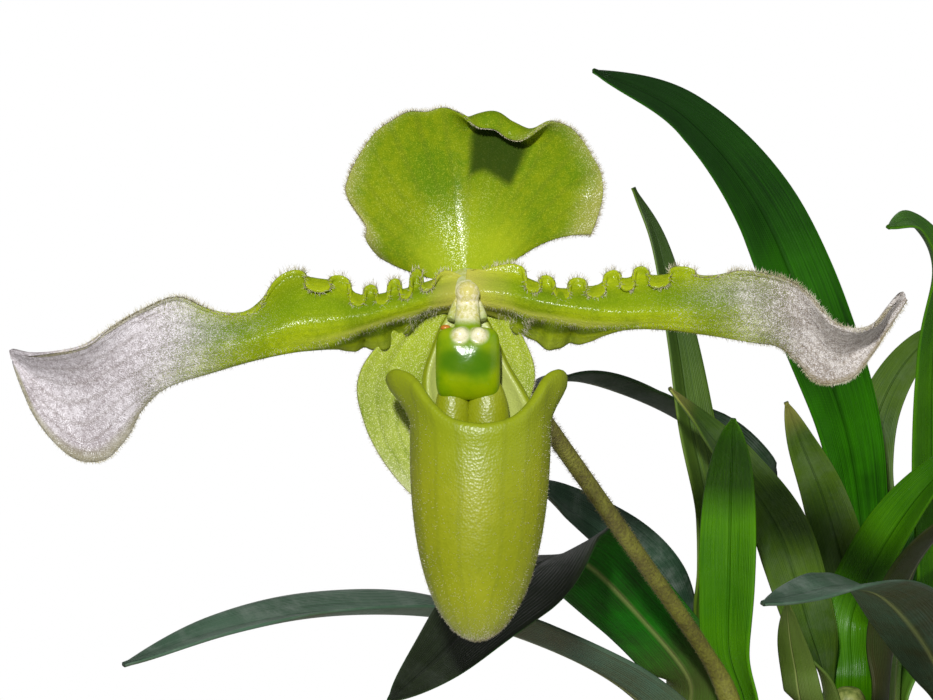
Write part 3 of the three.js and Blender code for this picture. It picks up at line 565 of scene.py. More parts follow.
# %% Leaf shape
STEM = {"radius": 3.2, "tip_radius": 2, "foot": 80, "top": 131}
SLEEVE = {"first": 4.2, "step": 1.4, "reach": 1.05}
LEAVES = {
    "leaf_a1": (
        ("a", 55, 0, 40, 11.6, 30, 9, "fresh"),
        [[-16, -18, 146], [-16.2, -18, 159], [-16.4, -20, 173], [-16.6, -23, 183], [-16.8, -26, 190.5]],
        [[0.6, -0.35, -0.9, 0], [1, -0.2, -0.9, 0.3]],
    ),
    "leaf_a2": (
        ("a", 235, 1, 30, 14, 34, 5, "grey"),
        [
            [-25, -32, 134], [-38, -38, 147], [-54, -42, 156], [-69, -56, 164.2], [-86, -74, 170],
            [-101, -88, 171.5], [-115, -100, 170],
        ],
        [[0.4, 0.1, 0.35, 0.93], [0.7, 0, -0.05, 1], [1, 0, -0.15, 1]],
    ),
    "leaf_a3": (
        ("a", 316, 2, 20, 15, 28, 6, "deep"),
        [[0, -40, 124], [18, -58, 138], [40, -76, 140], [60, -92, 124]],
        [[1, 0.4, -0.3, 0.85]],
    ),
    "leaf_b1": (
        ("b", 95, 0, 45, 19, 24, 3.8, "deep"),
        [
            [15, 33, 150], [11, 31, 173], [2.5, 25, 196], [-8.8, 17, 221], [-24, 4, 239.5],
            [-41, -10, 249.5],
        ],
        [[0.5, 0.3, -0.9, 0.3], [1, 0.1, -0.8, 0.6]],
    ),
    "leaf_b2": (
        ("b", 222, 1, 40, 13, 33, 4, "olive"),
        [[10, 24, 147], [5, 20, 164], [0, 17, 176], [-3, 15, 184]],
        [[0.6, 0.1, -0.95, 0.3], [1, 0, -0.95, 0.3]],
    ),
    "leaf_b3": (
        ("b", 178, 2, 36, 17, 26, 3.5, "blue"),
        [
            [4.5, 32, 142], [-1, 30.5, 153], [-7, 27, 163], [-18, 27, 175], [-32.5, 12, 186],
            [-46, -6, 193], [-56, -22, 190],
        ],
        [[0.45, -0.1, -0.35, 0.9], [1, -0.5, -0.4, 0.7]],
    ),
    "leaf_b4": (
        ("b", 80, 1, 38, 11.5, 28, 4, "olive"),
        [[18.5, 44.5, 149], [18, 49, 163], [21, 54, 175], [29, 60, 185], [42, 66, 191]],
        [[1, -0.3, -0.8, 0.5]],
    ),
    "leaf_b5": (
        ("b", 322, 2, 36, 14, 26, 5, "fresh"),
        [
            [28, 26, 143], [28, 28, 155], [27, 29, 169], [26, 26, 190], [25, 19, 209], [19, 9, 219],
            [13, 0, 220],
        ],
        [[0.4, 0.5, -0.85, 0.1], [0.8, 0.4, -0.7, 0.6], [1, 0.2, -0.5, 0.85]],
    ),
    "leaf_b6": (
        ("b", 55, 3, 24, 15, 26, 5, "deep"),
        [[27, 44, 133], [39, 60, 152], [56, 76, 161], [74, 90, 154]],
        [[1, 0.2, 0.1, 1]],
    ),
    "leaf_c1": (
        ("c", 0, 0, 42, 14, 26, 5, "deep"),
        [[36, -11, 148], [44, -12, 172], [55, -14, 198], [70, -17, 216]],
        [[0.6, -0.2, -0.9, 0.2], [1, -0.3, -0.8, 0.5]],
    ),
    "leaf_c2": (
        ("c", 245, 1, 34, 16, 26, 5, "grey"),
        [
            [24, -25, 138], [14, -48, 157], [3, -74, 173], [-6, -93, 180], [-14, -104, 182],
            [-20, -111, 183],
        ],
        [[0.5, -0.1, 0.5, 0.85], [0.8, 0, 0.05, 1], [1, 0.1, -0.35, 0.93]],
    ),
    "leaf_c3": (
        ("c", 80, 1, 38, 14, 28, 4, "fresh"),
        [[37, -1, 144], [45, 8, 168], [54, 18, 194], [66, 30, 212]],
        [[1, -0.4, -0.6, 0.6]],
    ),
    "leaf_c4": (
        ("c", 25, 2, 28, 15, 26, 5, "deep"),
        [[43, -5, 135], [58, 4, 154], [77, 14, 168], [98, 24, 170]],
        [[1, -0.1, -0.1, 1]],
    ),
    "leaf_c5": (
        ("c", 325, 3, 20, 16, 26, 5, "olive"),
        [[46, -24, 124], [64, -36, 142], [86, -49, 148], [106, -60, 137], [118, -68, 122]],
        [[1, 0.2, -0.2, 0.95]],
    ),
    "leaf_d1": (
        ("d", 185, 0, 34, 14, 30, 4, "olive"),
        [[2, 5, 140], [-4.5, 4, 160], [-13.5, -3, 175], [-21, -8, 185], [-27, -13, 193]],
        [[0.5, 0.1, -0.9, 0.35], [1, -0.1, -0.5, 0.85]],
    ),
    "leaf_d2": (
        ("d", 80, 1, 36, 14, 28, 5, "fresh"),
        [[11, 17, 142], [17, 13, 158], [25, 9, 171], [34, 4, 180]],
        [[0.6, -0.5, -0.6, 0.6], [1, -0.2, -0.4, 0.9]],
    ),
    "leaf_d3": (
        ("d", 0, 2, 30, 14, 28, 5, "brown"),
        [[17, 6, 138], [19, 1, 154], [25, -6, 166], [33, -14, 173]],
        [[0.6, -0.6, 0.4, 0.7], [1, -0.2, 0.1, 0.95]],
    ),
    "leaf_d4": (
        ("d", 210, 1, 26, 10.5, 26, 4, "olive"),
        [[-1.5, -10.5, 133], [-3, -11, 140], [-4.5, -13.5, 147], [-5.5, -16, 154]],
        [[1, 0.3, 0.9, 0.2]],
    ),
    "leaf_e1": (
        ("e", 62, 0, 47, 13.5, 36, 3.4, "shaded_tip"),
        [
            [-18, 6, 156.5], [-18.5, 9, 166.5], [-21.5, 12, 180.5], [-24, 15.5, 196.5],
            [-27.5, 19, 213.5], [-32, 21, 224],
        ],
        [[0.5, 0.6, -0.7, 0.2], [1, 0.7, -0.6, 0.3]],
    ),
    "leaf_e2": (
        ("e", 184, 1, 35, 16, 30, 6, "grey"),
        [
            [-23.5, 3.5, 141], [-27, 1.5, 150], [-35.5, -2.5, 160.5], [-46.5, -8.5, 170.5],
            [-52.5, -13.5, 176.5],
        ],
        [[0.7, -0.3, -0.5, 0.75], [1, -0.3, -0.5, 0.8]],
    ),
    "leaf_e3": (
        ("e", 238, 2, 32, 17, 18, 6, "two_sided"),
        [
            [-22.5, -9.5, 138], [-31.5, -16, 151], [-43, -32, 166.5], [-50, -57, 173.5],
            [-60.5, -83.5, 173.5], [-68, -102.5, 171.5], [-74.5, -115, 169.5],
        ],
        [
            [0.3, 0.1, 0.95, 0.15], [0.45, -0.5, 0.65, 0.6], [0.6, -0.3, -0.1, 0.9],
            [0.75, 0.35, -0.4, 0.7], [1, 0.4, -0.5, 0.7],
        ],
    ),
}
LEAF = {"thick": 1.0, "tip_thick": 0.7, "crease": 1.2, "opening": 26, "rows": 110, "columns": 19}


def facing(face, u, along):
    """The way the upper side looks, smoothly between the stated places and square to the midrib."""
    face = np.asarray(face, float)
    k = np.clip(np.searchsorted(face[1:, 0], u), 0, len(face) - 2)
    share = smooth((u - face[k, 0]) / (face[k + 1, 0] - face[k, 0]))[:, None]
    normal = face[k, 1:] * (1 - share) + face[k + 1, 1:] * share
    return unit(normal - along * (normal * along).sum(1, keepdims=True))


def blade(points, face, width, fold, taper, radius, clasp, base, rows, columns):
    """Midrib line plus, across it, the sum of short steps whose slope turns from the circle to the V."""
    line = Line(points)
    share = np.linspace(0, 1, rows)
    u = share * (1.3 - 0.3 * share)
    along = line.along(u)
    normal = facing(face, u, along)
    across = np.cross(normal, along)
    past = u * line.length - clasp
    opened = smooth(past / LEAF["opening"])
    full = base + (width / 2 - base) * smooth(past / max(line.length * 0.4, 20))
    half = np.maximum(full * np.maximum(1 - u**taper, 0) ** 0.75, 0.45)
    end = np.linspace(-1, 1, columns) * half[:, None]
    w = end[..., None] * (np.arange(8) + 0.5) / 8
    slope = (np.radians(fold) * (1 - 0.35 * u))[:, None, None]
    opened = opened[:, None, None]
    tilt = (1 - opened) * w / radius + opened * slope * np.tanh(w / LEAF["crease"])
    side = np.cos(tilt).mean(-1) * end
    rise = np.sin(tilt).mean(-1) * end
    return line.at(u)[:, None] + across[:, None] * side[..., None] + normal[:, None] * rise[..., None]


def leaf_grid(numbers, listed, face):
    """The midrib starts in the bark, climbs the sleeve and leaves it through the listed points."""
    growth, heading, rank, rise, width, fold, taper, _ = numbers
    radius = SLEEVE["first"] + SLEEVE["step"] * rank
    heading = np.radians(heading)
    inward = [-np.cos(heading), -np.sin(heading), 0]
    foot = np.array([*GROWTHS[growth], 0]) - radius * np.array(inward)
    start = SOIL + GAP
    top = SOIL + rise
    first = np.array(listed[0], float)
    lift = foot + (first - foot) * 0.15
    lift[2] = top + 0.35 * (first[2] - top)
    climb = [foot + [0, 0, z] for z in (start, (start + top) / 2, top)]
    points = [*climb, lift, *listed]
    share = (top - start) / Line(points).length
    face = [[0, *inward], [share, *inward], *face]
    clasp = (top - start) * 0.95
    base = radius * SLEEVE["reach"]
    return blade(points, face, width, fold, taper, radius, clasp, base, LEAF["rows"], LEAF["columns"])


# %% [markdown]
# ## Leaf skin
#
# The upper side is a deep green that shines where it is young, and dull with a grey bloom where it is
# old. The underside is paler or brown, with a keel. Fine veins run the whole length, so their pattern is
# made from the leaf's own two parameters: v runs across from 0 to 1, and the midrib lies at one half.


# %% Leaf finish
def leaf_finish(name, light, dark, under, rough=0.42, bloom=0.0, tip=None, shaded_tip=0.0):
    """Two greens by noise, a midrib groove and a tip darkened by painted shade, a pale edge, fine veins and a
    bloom.
    """
    skin = Finish(name, roughness=rough, shine=0.3)
    u, v, uv = skin.uv()
    spot = skin.place()
    upper = skin.mark("upper")
    streaks = skin.noise(skin.stretched(uv, (5.0, 46.0, 1.0)), 1.0, 4.0, 0.6)
    clouds = skin.noise(spot, 55.0, 4.0, 0.55)
    veins = (v * 190.0 + clouds * 3.0).sine()
    # The midrib: painted shade in its groove on the upper side, and a paler keel on the underside.
    middle = 1.0 - (v - 0.5).abs().ramp(0.0, 0.045)
    rim = (v - 0.5).abs().ramp(0.455, 0.5)
    dust = skin.noise(spot, 190.0, 5.0, 0.7).ramp(0.42, 0.75)
    # painted shade: the upper side darkens toward the tip by the given share
    outer = u.ramp(0.35, 0.85) * shaded_tip
    green = skin.mix((streaks * 0.6 + clouds * 0.6).ramp(0.35, 0.85), dark, light)
    # painted shade darkens the midrib groove; the pale edge is the leaf's own colour
    green = skin.layered(green, (middle * 0.45, dark), (rim * 0.5, light))
    green = skin.layered(green, (dust * bloom, "9fa8a0"), (outer, dark))
    sole = skin.mix((clouds + streaks * 0.5).ramp(0.4, 1.0), under, light)
    sole = skin.mix(middle * 0.55, sole, "a8b268")
    if tip:
        green = skin.mix(u.ramp(0.88, 1.0), green, tip)
    shown = skin.mix(upper, sole, green)
    skin.colour(skin.mix(1.0 - u.ramp(0.05, 0.3), shown, "7f9440"))
    skin.rough(rough + dust * 0.2 - streaks * 0.06)
    skin.relief(veins * 0.2 + streaks + middle * -2.0, 0.00012)
    return skin.material


# Skins given a share for the tip darken toward it with painted shade.
LEAF_SKINS = {
    "fresh": leaf_finish("leaf_fresh", "549404", "2e6a02", "4e7a16", 0.3),
    "deep": leaf_finish("leaf_deep", "3a8c04", "0f3604", "3f6a16", 0.33, shaded_tip=0.9),
    "olive": leaf_finish("leaf_olive", "5c7c20", "33541a", "66783a", 0.48, bloom=0.1, tip="a8a850"),
    "blue": leaf_finish("leaf_blue", "22401f", "0f2410", "3a4a20", 0.5, bloom=0.14),
    "grey": leaf_finish("leaf_grey", "4c6a54", "22402a", "453d18", 0.48, bloom=0.36),
    "brown": leaf_finish("leaf_brown", "36461a", "1e2c10", "3c3212", 0.5, bloom=0.1),
    "two_sided": leaf_finish("leaf_two_sided", "222e14", "10180a", "1a8a04", 0.62, bloom=0.05),
    "shaded_tip": leaf_finish("leaf_shaded_tip", "789a24", "38561a", "66783a", 0.48, shaded_tip=0.9),
}
print("leaf finishes:", len(LEAF_SKINS))

# %% [markdown]
# ## Making the leaves
#
# Each leaf is one closed sheet that thins toward its edge and its tip. A mark on the mesh tells its upper
# side from its underside, because the two differ in colour.


# %% Leaves
def edge_thin(columns, amount):
    """One in the middle of a sheet, falling by amount toward its two edges."""
    across = np.abs(np.linspace(-1, 1, columns))
    return 1 - amount * across**6


def sheet_piece(name, grid, thick, finish, slot, node, **marks):
    """A sheet with its two parameters, in place of one CAD node."""
    points, faces = sheet(grid, thick)
    piece(name, points, faces, finish, slot, [node], grid_uv(*grid.shape[:2]), **marks)


def leafy(name, grid, thick, finish, slot, node):
    """A sheet that also has the mark of its upper side."""
    upper = np.repeat([1.0, 0.0], grid[..., 0].size)
    sheet_piece(name, grid, thick, finish, slot, node, upper=upper)


thin = np.linspace(LEAF["thick"], LEAF["tip_thick"], LEAF["rows"])[:, None]
thick = thin * edge_thin(LEAF["columns"], 0.5)
for node, row in LEAVES.items():
    finish = LEAF_SKINS[row[0][-1]]
    leafy(node.replace("leaf", "strap_leaf"), leaf_grid(*row), thick, finish, "leaf", node)

# %% [markdown]
# ## Growth stems
#
# Between the sleeves of its leaves each growth has a short fleshy stem, which hardly shows. It is a
# simple turned shape with a skin of pale green and fine lengthwise lines.

# %% Growth stems
stem_skin = Finish("growth_skin", roughness=0.5)
fleck = stem_skin.noise(stem_skin.stretched(stem_skin.place(), (1.0, 1.0, 0.15)), 900.0, 4.0)
stem_skin.colour(stem_skin.mix(fleck.ramp(0.3, 0.7), "6f7f38", "a3ac5c"))
stem_skin.relief(fleck, 0.0002)
for key, (x, y) in GROWTHS.items():
    shoulder = STEM["top"] - (0 if key == "a" else 0.4)
    foot, top, radius, tip = STEM["foot"], STEM["top"], STEM["radius"], STEM["tip_radius"]
    profile = [[0, foot], [radius, foot], [radius, top - 2]]
    profile += [[tip + 0.5, top - 0.9], [tip, shoulder], [0, top]]
    points, faces = lathe(profile, 40)
    name = f"growth_stem_{key}"
    piece(name, points + [x, y, 0], faces, stem_skin.material, "growth_stem", [f"growth_{key}_stem"])

# %% [markdown]
# ## Hairs
#
# The kind is named for its shaggy hairs: they stand on the flower stem, on the ovary and round every
# edge of the flower. A particle system would draw them, but not as part of a model that is exported, so
# each hair is a tiny closed spike of ten triangles: a ring of three points at its root, one at half its
# length, and its tip.


# %% Hair maker
HAIR = {"shortest": 0.55, "longest": 1.15, "spread": 0.35, "droop": 0.3}
SPIKE = np.array([
    [0, 2, 1], [0, 1, 4], [0, 4, 3], [1, 2, 5], [1, 5, 4],
    [2, 0, 3], [2, 3, 5], [3, 4, 6], [4, 5, 6], [5, 3, 6],
])


def strands(name, roots, heading, lengths, finish, slot, width, seed):
    """Spikes along heading plus a random part, bent sideways by droop times the square of the share."""
    draw = np.random.default_rng(seed)
    count = len(roots)
    lengths = np.broadcast_to(lengths, count)[:, None]
    lengths = lengths * draw.uniform(HAIR["shortest"], HAIR["longest"], (count, 1))
    heading = unit(unit(heading) + HAIR["spread"] * draw.normal(size=(count, 3)))
    first = unit(np.cross(heading, draw.normal(size=(count, 3))))
    second = np.cross(heading, first)
    bend = first * lengths * HAIR["droop"] * draw.normal(size=(count, 1))
    levels = []
    for share in (0, 0.5):
        centre = roots + heading * lengths * share + bend * share**2
        for turn in np.arange(3) * 2 * np.pi / 3:
            spoke = first * np.cos(turn) + second * np.sin(turn)
            levels.append(centre + spoke * width * (1 - 0.5 * share))
    levels.append(roots + heading * lengths + bend)
    faces = (SPIKE + np.arange(count)[:, None, None] * len(levels)).reshape(-1, 3)
    piece(name, np.stack(levels, 1).reshape(-1, 3), faces, finish, slot)


def hair_finish(name, root, tip):
    """A soft matte fibre whose colour drifts a little from place to place."""
    fibre = Finish(name, roughness=0.5)
    shade = fibre.noise(fibre.place(), 260.0, 2.0)
    fibre.colour(fibre.mix(shade.ramp(0.35, 0.65), root, tip))
    return fibre.material


pale_hair = hair_finish("pale_hair", "c4bb98", "e6e0c8")
brown_hair = hair_finish("brown_hair", "6c6238", "8c8152")


def on_surface(at, u, v):
    """Points of a surface, its normals, and the directions in which u and v grow."""
    step = 2e-3
    by_u = at(u + step, v) - at(u - step, v)
    by_v = at(u, v + step) - at(u, v - step)
    return at(u, v), unit(np.cross(by_u, by_v)), unit(by_u), unit(by_v)


# %% [markdown]
# ## Flower stem and ovary
#
# The flower stands on one leaning stem. Its upper end swells into the ribbed ovary, which bends forward
# and holds the flower. Both are tubes: rings of a changing radius carried along a smooth line.

# %% Stem, ovary and bract
SCAPE = {
    "radius": 1.4, "collar": 1.9,
    "points": [[-15, -22, 131.7], [-16.2, -22.2, 138], [-21, -25.5, 148], [-37, -48, 176], [-53, -72, 204]],
}
OVARY = {
    "points": [[-53.2, -72.3, 204.3], [-58, -80, 213], [-62, -90.6, 222], [-63.3, -99.9, 226.9]],
    "radii": [1.6, 2.7, 2.6, 3.4], "ribs": 6,
}
BRACT = {
    "width": 9, "base": 3.2, "radius": 2.6, "clasp": 4, "fold": 35, "taper": 2.2, "thick": 0.7,
    "points": [[-53.6, -72.8, 201.4], [-56.3, -77.1, 205.6], [-59.6, -82.3, 209.3], [-63.4, -89.6, 211.8]],
    "face": [0.4, 0.57, 0.71],
}


def scape_radius(share):
    """The stem's radius, with a thicker collar at its foot."""
    return SCAPE["radius"] + (SCAPE["collar"] - SCAPE["radius"]) * (1 - smooth((share - 0.06) / 0.12))


def ovary_radius(share):
    return through(OVARY["radii"], share)


def ovary_ribs(share, turn):
    """Six low ribs that fade toward both ends."""
    return 0.09 * np.cos(OVARY["ribs"] * turn) * np.sin(np.pi * np.clip(share, 0.02, 0.98))


def hairy_skin(name, light, dark):
    """Two colours mottled by noise at two scales, with a matching relief."""
    skin = Finish(name, roughness=0.6)
    spot = skin.place()
    patch = skin.noise(spot, 160.0, 4.0, 0.6)
    dots = skin.noise(spot, 1700.0, 2.0, 0.6)
    skin.colour(skin.mix((patch * 0.6 + dots * 0.5).ramp(0.4, 0.72), dark, light))
    skin.relief(dots + patch, 0.0002)
    return skin.material


scape_line = Line(SCAPE["points"])
ovary_line = Line(OVARY["points"])
points, faces = tube(scape_line, scape_radius, 120, 28)
piece("flower_stem", points, faces, hairy_skin("stem_skin", "8c8c34", "66602a"), "flower_stem", ["scape"])
points, faces = tube(ovary_line, ovary_radius, 60, 60, ovary_ribs)
piece("ribbed_ovary", points, faces, hairy_skin("ovary_skin", "848a3a", "565224"), "ovary", ["ovary"])
bract_face = [[0, *BRACT["face"]], [1, *BRACT["face"]]]
bract_shape = [BRACT[key] for key in ("width", "fold", "taper", "radius", "clasp", "base")]
bract_grid = blade(BRACT["points"], bract_face, *bract_shape, 40, 15)
leafy("hairy_bract", bract_grid, BRACT["thick"], LEAF_SKINS["olive"], "bract", "bract")


def tube_hairs(name, line, radius, count, length, seed):
    """Hairs at random places on a tube, square to it and leaning a little toward its tip."""
    draw = np.random.default_rng(seed)
    share = draw.uniform(0.02, 0.99, count)
    along = line.along(share)
    out = unit(np.cross(along, draw.normal(size=(count, 3))))
    roots = line.at(share) + out * (radius(share) - 0.08)[:, None]
    strands(name, roots, out + 0.25 * along, length, brown_hair, "flower_stem", 0.03, seed=seed)


tube_hairs("flower_stem_hairs", scape_line, scape_radius, 3000, 0.62, 11)
tube_hairs("ovary_hairs", ovary_line, ovary_radius, 2400, 0.7, 12)

# %% [markdown]
# ## The flower's own frame
#
# The flower is described as one looks at it: x to the right, y into its back and z up, from the middle of
# its column. It nods forward by twelve degrees, so one small function turns and places every point.

# %% Flower frame
NOD = np.radians(-12)


def placed(points):
    """Turns points about x by the nod and moves them to the flower's middle."""
    points = np.asarray(points, float)
    x, y, z = points[..., 0], points[..., 1], points[..., 2]
    lean = np.stack([x, y * np.cos(NOD) - z * np.sin(NOD), y * np.sin(NOD) + z * np.cos(NOD)], -1)
    return lean + FLOWER_AT


# %% [markdown]
# ## Petals
#
# The two petals reach far to the sides and twist at their ends. Four rows of points give the crest, the
# middle, the ridge and the lower edge from base to tip. The upper edge of the inner half is frilled: by
# turns it stands up in a knob and hangs forward in a tongue. Below the ridge a ruffled skirt hangs back.

# %% Petal shape
PETAL_RIGHT = [
    [
        [3.3, 1, 4.1], [7.9, 0.5, 3], [12.3, 0.3, 1.5], [17, 0.3, 1.5], [21.7, 0.3, 2.6],
        [27.8, 0.3, 3.2], [34, 0.3, 2.8], [39.4, 0, 3.1], [45.8, -1.2, 2.1], [49.3, -2.6, -0.3],
        [52.2, -3.6, -3.7], [55.5, -3.6, -4.7], [58.5, -2.2, -3.8], [61, 0.2, -1.2], [63.1, 2, 1.2],
    ],
    [
        [3.1, -0.5, 1.7], [8, -1.5, 0.4], [12.2, -2, -0.5], [16.9, -2.4, -1.2], [21.8, -2.8, -1.5],
        [27.6, -3, -1.2], [33.7, -3, -1.2], [39.8, -2.6, -0.8], [45.4, -1.5, -1.9], [49.2, 0.2, -4.1],
        [52.9, 1.5, -7.2], [55.9, 2.5, -7.2], [58.6, 2, -5.2], [61.4, 2, -1.7], [63.5, 2.2, 0.9],
    ],
    [
        [3, 0.2, 0], [8.3, -0.5, -2.3], [12.1, -0.8, -3.1], [17.1, -1, -3.8], [22.1, -2, -3.6],
        [27.7, -2.4, -3.4], [34.1, -2.6, -3.9], [40.3, -2.2, -4.1], [45.1, -0.5, -4.9], [48.5, 1, -7.2],
        [52, 1.5, -10.5], [55.9, 2.5, -9.6], [58.9, 3, -6.8], [61.6, 2.5, -2.5], [63.7, 2.3, 0.4],
    ],
    [
        [3.4, 1.2, -0.9], [6.8, 1.4, -4.3], [11.6, 1.6, -6.8], [16.7, 1.6, -6.1], [22.3, -1.2, -4.3],
        [27.9, -1.6, -4.2], [34.4, -1.8, -5], [40.7, -1.5, -6.1], [44.8, 0.5, -6.7], [47.8, 1.5, -9],
        [50.8, 1, -12], [55.5, 1.5, -11.5], [58.8, 2.5, -8], [61.8, 2.5, -3.4], [64, 2.3, 0],
    ],
]
PETAL_LEFT = [
    [
        [-3.5, 1, 3.4], [-7.1, 0.5, 1.9], [-11.1, 0.3, 0.9], [-15.5, 0.3, 0.4], [-20.4, 0.3, 2.4],
        [-25.9, 0, 2.3], [-32.4, 0, -2.2], [-38.2, -0.3, -2.1], [-42.6, -1, -0.7], [-48, -2, -2.8],
        [-51.9, -3, -5.1], [-55.3, -3.2, -7.2], [-59.2, -2.5, -8], [-63.2, -1, -8.1], [-66.5, 1, -7.2],
    ],
    [
        [-3.6, -0.5, 1.4], [-7.3, -1.5, 0], [-11.3, -2, -1.2], [-15.7, -2.5, -2.2], [-20.4, -2.8, -2.6],
        [-25.6, -3, -3.2], [-31.8, -3, -5.5], [-37.5, -2.8, -6.2], [-42.9, -2, -6.5],
        [-48.9, -0.8, -8.4], [-54.2, 0.5, -11.3], [-58.3, 1.5, -12.3], [-61.4, 2, -11.6],
        [-64, 2, -10.2], [-66.6, 1.3, -7.9],
    ],
    [
        [-3.8, 0.2, -0.1], [-7.6, -0.5, -2], [-11.7, -0.9, -3.2], [-15.7, -1.2, -4.6],
        [-20.3, -1.8, -6.2], [-25.3, -2.4, -6.8], [-31.4, -2.6, -8.1], [-37.1, -2.4, -9.4],
        [-43.1, -1.5, -10.7], [-47.9, 0, -13.5], [-52.7, 1.2, -17.4], [-56.5, 1.5, -19.2],
        [-60.9, 1.5, -16.7], [-64.2, 1.8, -12.8], [-66.4, 1.5, -8.7],
    ],
    [
        [-4.2, 1.2, -1], [-8.2, 1.4, -3.6], [-11, 1.6, -6.4], [-15.6, 1.6, -7.2], [-20.1, 0.5, -7],
        [-25.2, -1.6, -7.4], [-31.1, -1.8, -8.7], [-36.9, -1.6, -10.4], [-43.5, -0.8, -12.6],
        [-47.3, 0.8, -15.8], [-49.6, 1.5, -19.9], [-53, 1, -23.2], [-57.6, 0.5, -22.8],
        [-62.6, 0.8, -17.6], [-66.1, 1.4, -9.9],
    ],
]
PETAL = {"thick": 0.8, "rows": 330, "columns": 40, "frill_end": (27, 35), "far_start": 30, "far_end": 46}
FRILL_RIGHT = [7.2, 9.2, 11.4, 13.4, 15.7, 18.4, 21, 23, 24.9, 27.3, 31, 35, 41, 60]
FRILL_LEFT = [4.5, 6, 7.6, 9.1, 10.7, 12.5, 14.2, 16, 18.4, 21.7, 25.5, 33.5, 42, 62]
FRILL = {"rise": 0.4, "knob": (0.2, 1.5), "tongue": (-2.2, -1.9), "far": (-0.6, -0.24), "bulge": 0.22}
SKIRT = {"tuck": 3.6, "reach": 15, "back": 1.7, "ruffle": 0.7, "waves": 1.3, "shoulder": (4.5, 5, 1.3)}


def hanging(marks, x):
    """0 on a knob and 1 in a tongue, by a cosine between marks, and how far each bulges sideways."""
    marks = np.asarray(marks, float)
    k = np.clip(np.searchsorted(marks[1:], x), 0, len(marks) - 2)
    gap = marks[k + 1] - marks[k]
    part = np.clip((x - marks[k]) / gap, 0, 1)
    turn = 0.5 - 0.5 * np.cos(np.pi * part)
    bulge = np.sin(2 * np.pi * part) * np.minimum(gap, 3) * FRILL["bulge"]
    return np.where(k % 2 == 1, 1 - turn, turn), bulge


def across_rows(rows, v):
    """The Catmull-Rom line through rows of points, each place with its own rows, at v."""
    rows = np.stack([2 * rows[0] - rows[1], *rows, 2 * rows[-1] - rows[-2]])
    place = np.clip(v, 0, 1) * (len(rows) - 3)
    i = np.minimum(place.astype(int), len(rows) - 4)
    u = (place - i)[..., None]
    a, b, c, d = (np.take_along_axis(rows, (i + k)[None, ..., None], axis=0)[0] for k in range(4))
    cubic = 3 * b - a - 3 * c + d
    return 0.5 * (2 * b + (c - a) * u + (2 * a - 5 * b + 4 * c - d) * u**2 + cubic * u**3)


def petal_at(rows, marks):
    """The surface of one petal, as a function of u from base to tip and v from crest to lower edge."""

    def at(u, v):
        u, v = np.broadcast_arrays(u, v)
        lines = [through(row, u) for row in rows]
        x = np.abs(lines[0][..., 0])
        down, bulge = hanging(marks, x)
        start, end = PETAL["frill_end"]
        tongue = down * (1 - smooth((x - start) / (end - start)))
        knob = 1 - down
        far = smooth((x - PETAL["far_start"]) / (PETAL["far_end"] - PETAL["far_start"]))
        fade = smooth(u * (len(rows[0]) - 1) / 0.7) * (1 - smooth((u - 0.86) / 0.12))
        y = FRILL["knob"][0] * knob * (1 - far) + FRILL["tongue"][0] * tongue + FRILL["far"][0] * far
        rise = FRILL["knob"][1] * knob * (1 - far / 2) + FRILL["tongue"][1] * tongue + FRILL["far"][1] * far
        at_base, reach, lift = SKIRT["shoulder"]
        left = lines[0][..., 0] < 0
        rise = rise + left * lift * np.exp(-(((x - at_base) / reach) ** 2)) * (1 - 0.6 * tongue)
        sideways = bulge * fade * (1 - far) * np.sign(lines[0][..., 0])
        shift = np.stack([sideways, y * fade, (rise + FRILL["rise"]) * fade], -1)
        found = across_rows([lines[0] + shift, *lines], v)
        found[..., 0] -= np.sign(found[..., 0]) * SKIRT["tuck"] * (1 - smooth(u / 0.05))
        hem = smooth((v - 0.7) / 0.2) * (1 - smooth((x - SKIRT["reach"]) / 5)) * smooth(u / 0.06)
        wave = np.sin(SKIRT["waves"] * x + 0.8) + 0.3 * np.sin(SKIRT["waves"] * 2.3 * x)
        found[..., 1] += hem * (SKIRT["back"] + SKIRT["ruffle"] * wave)
        found[..., 2] += hem * SKIRT["ruffle"] * 0.5 * wave
        return placed(found)

    return at
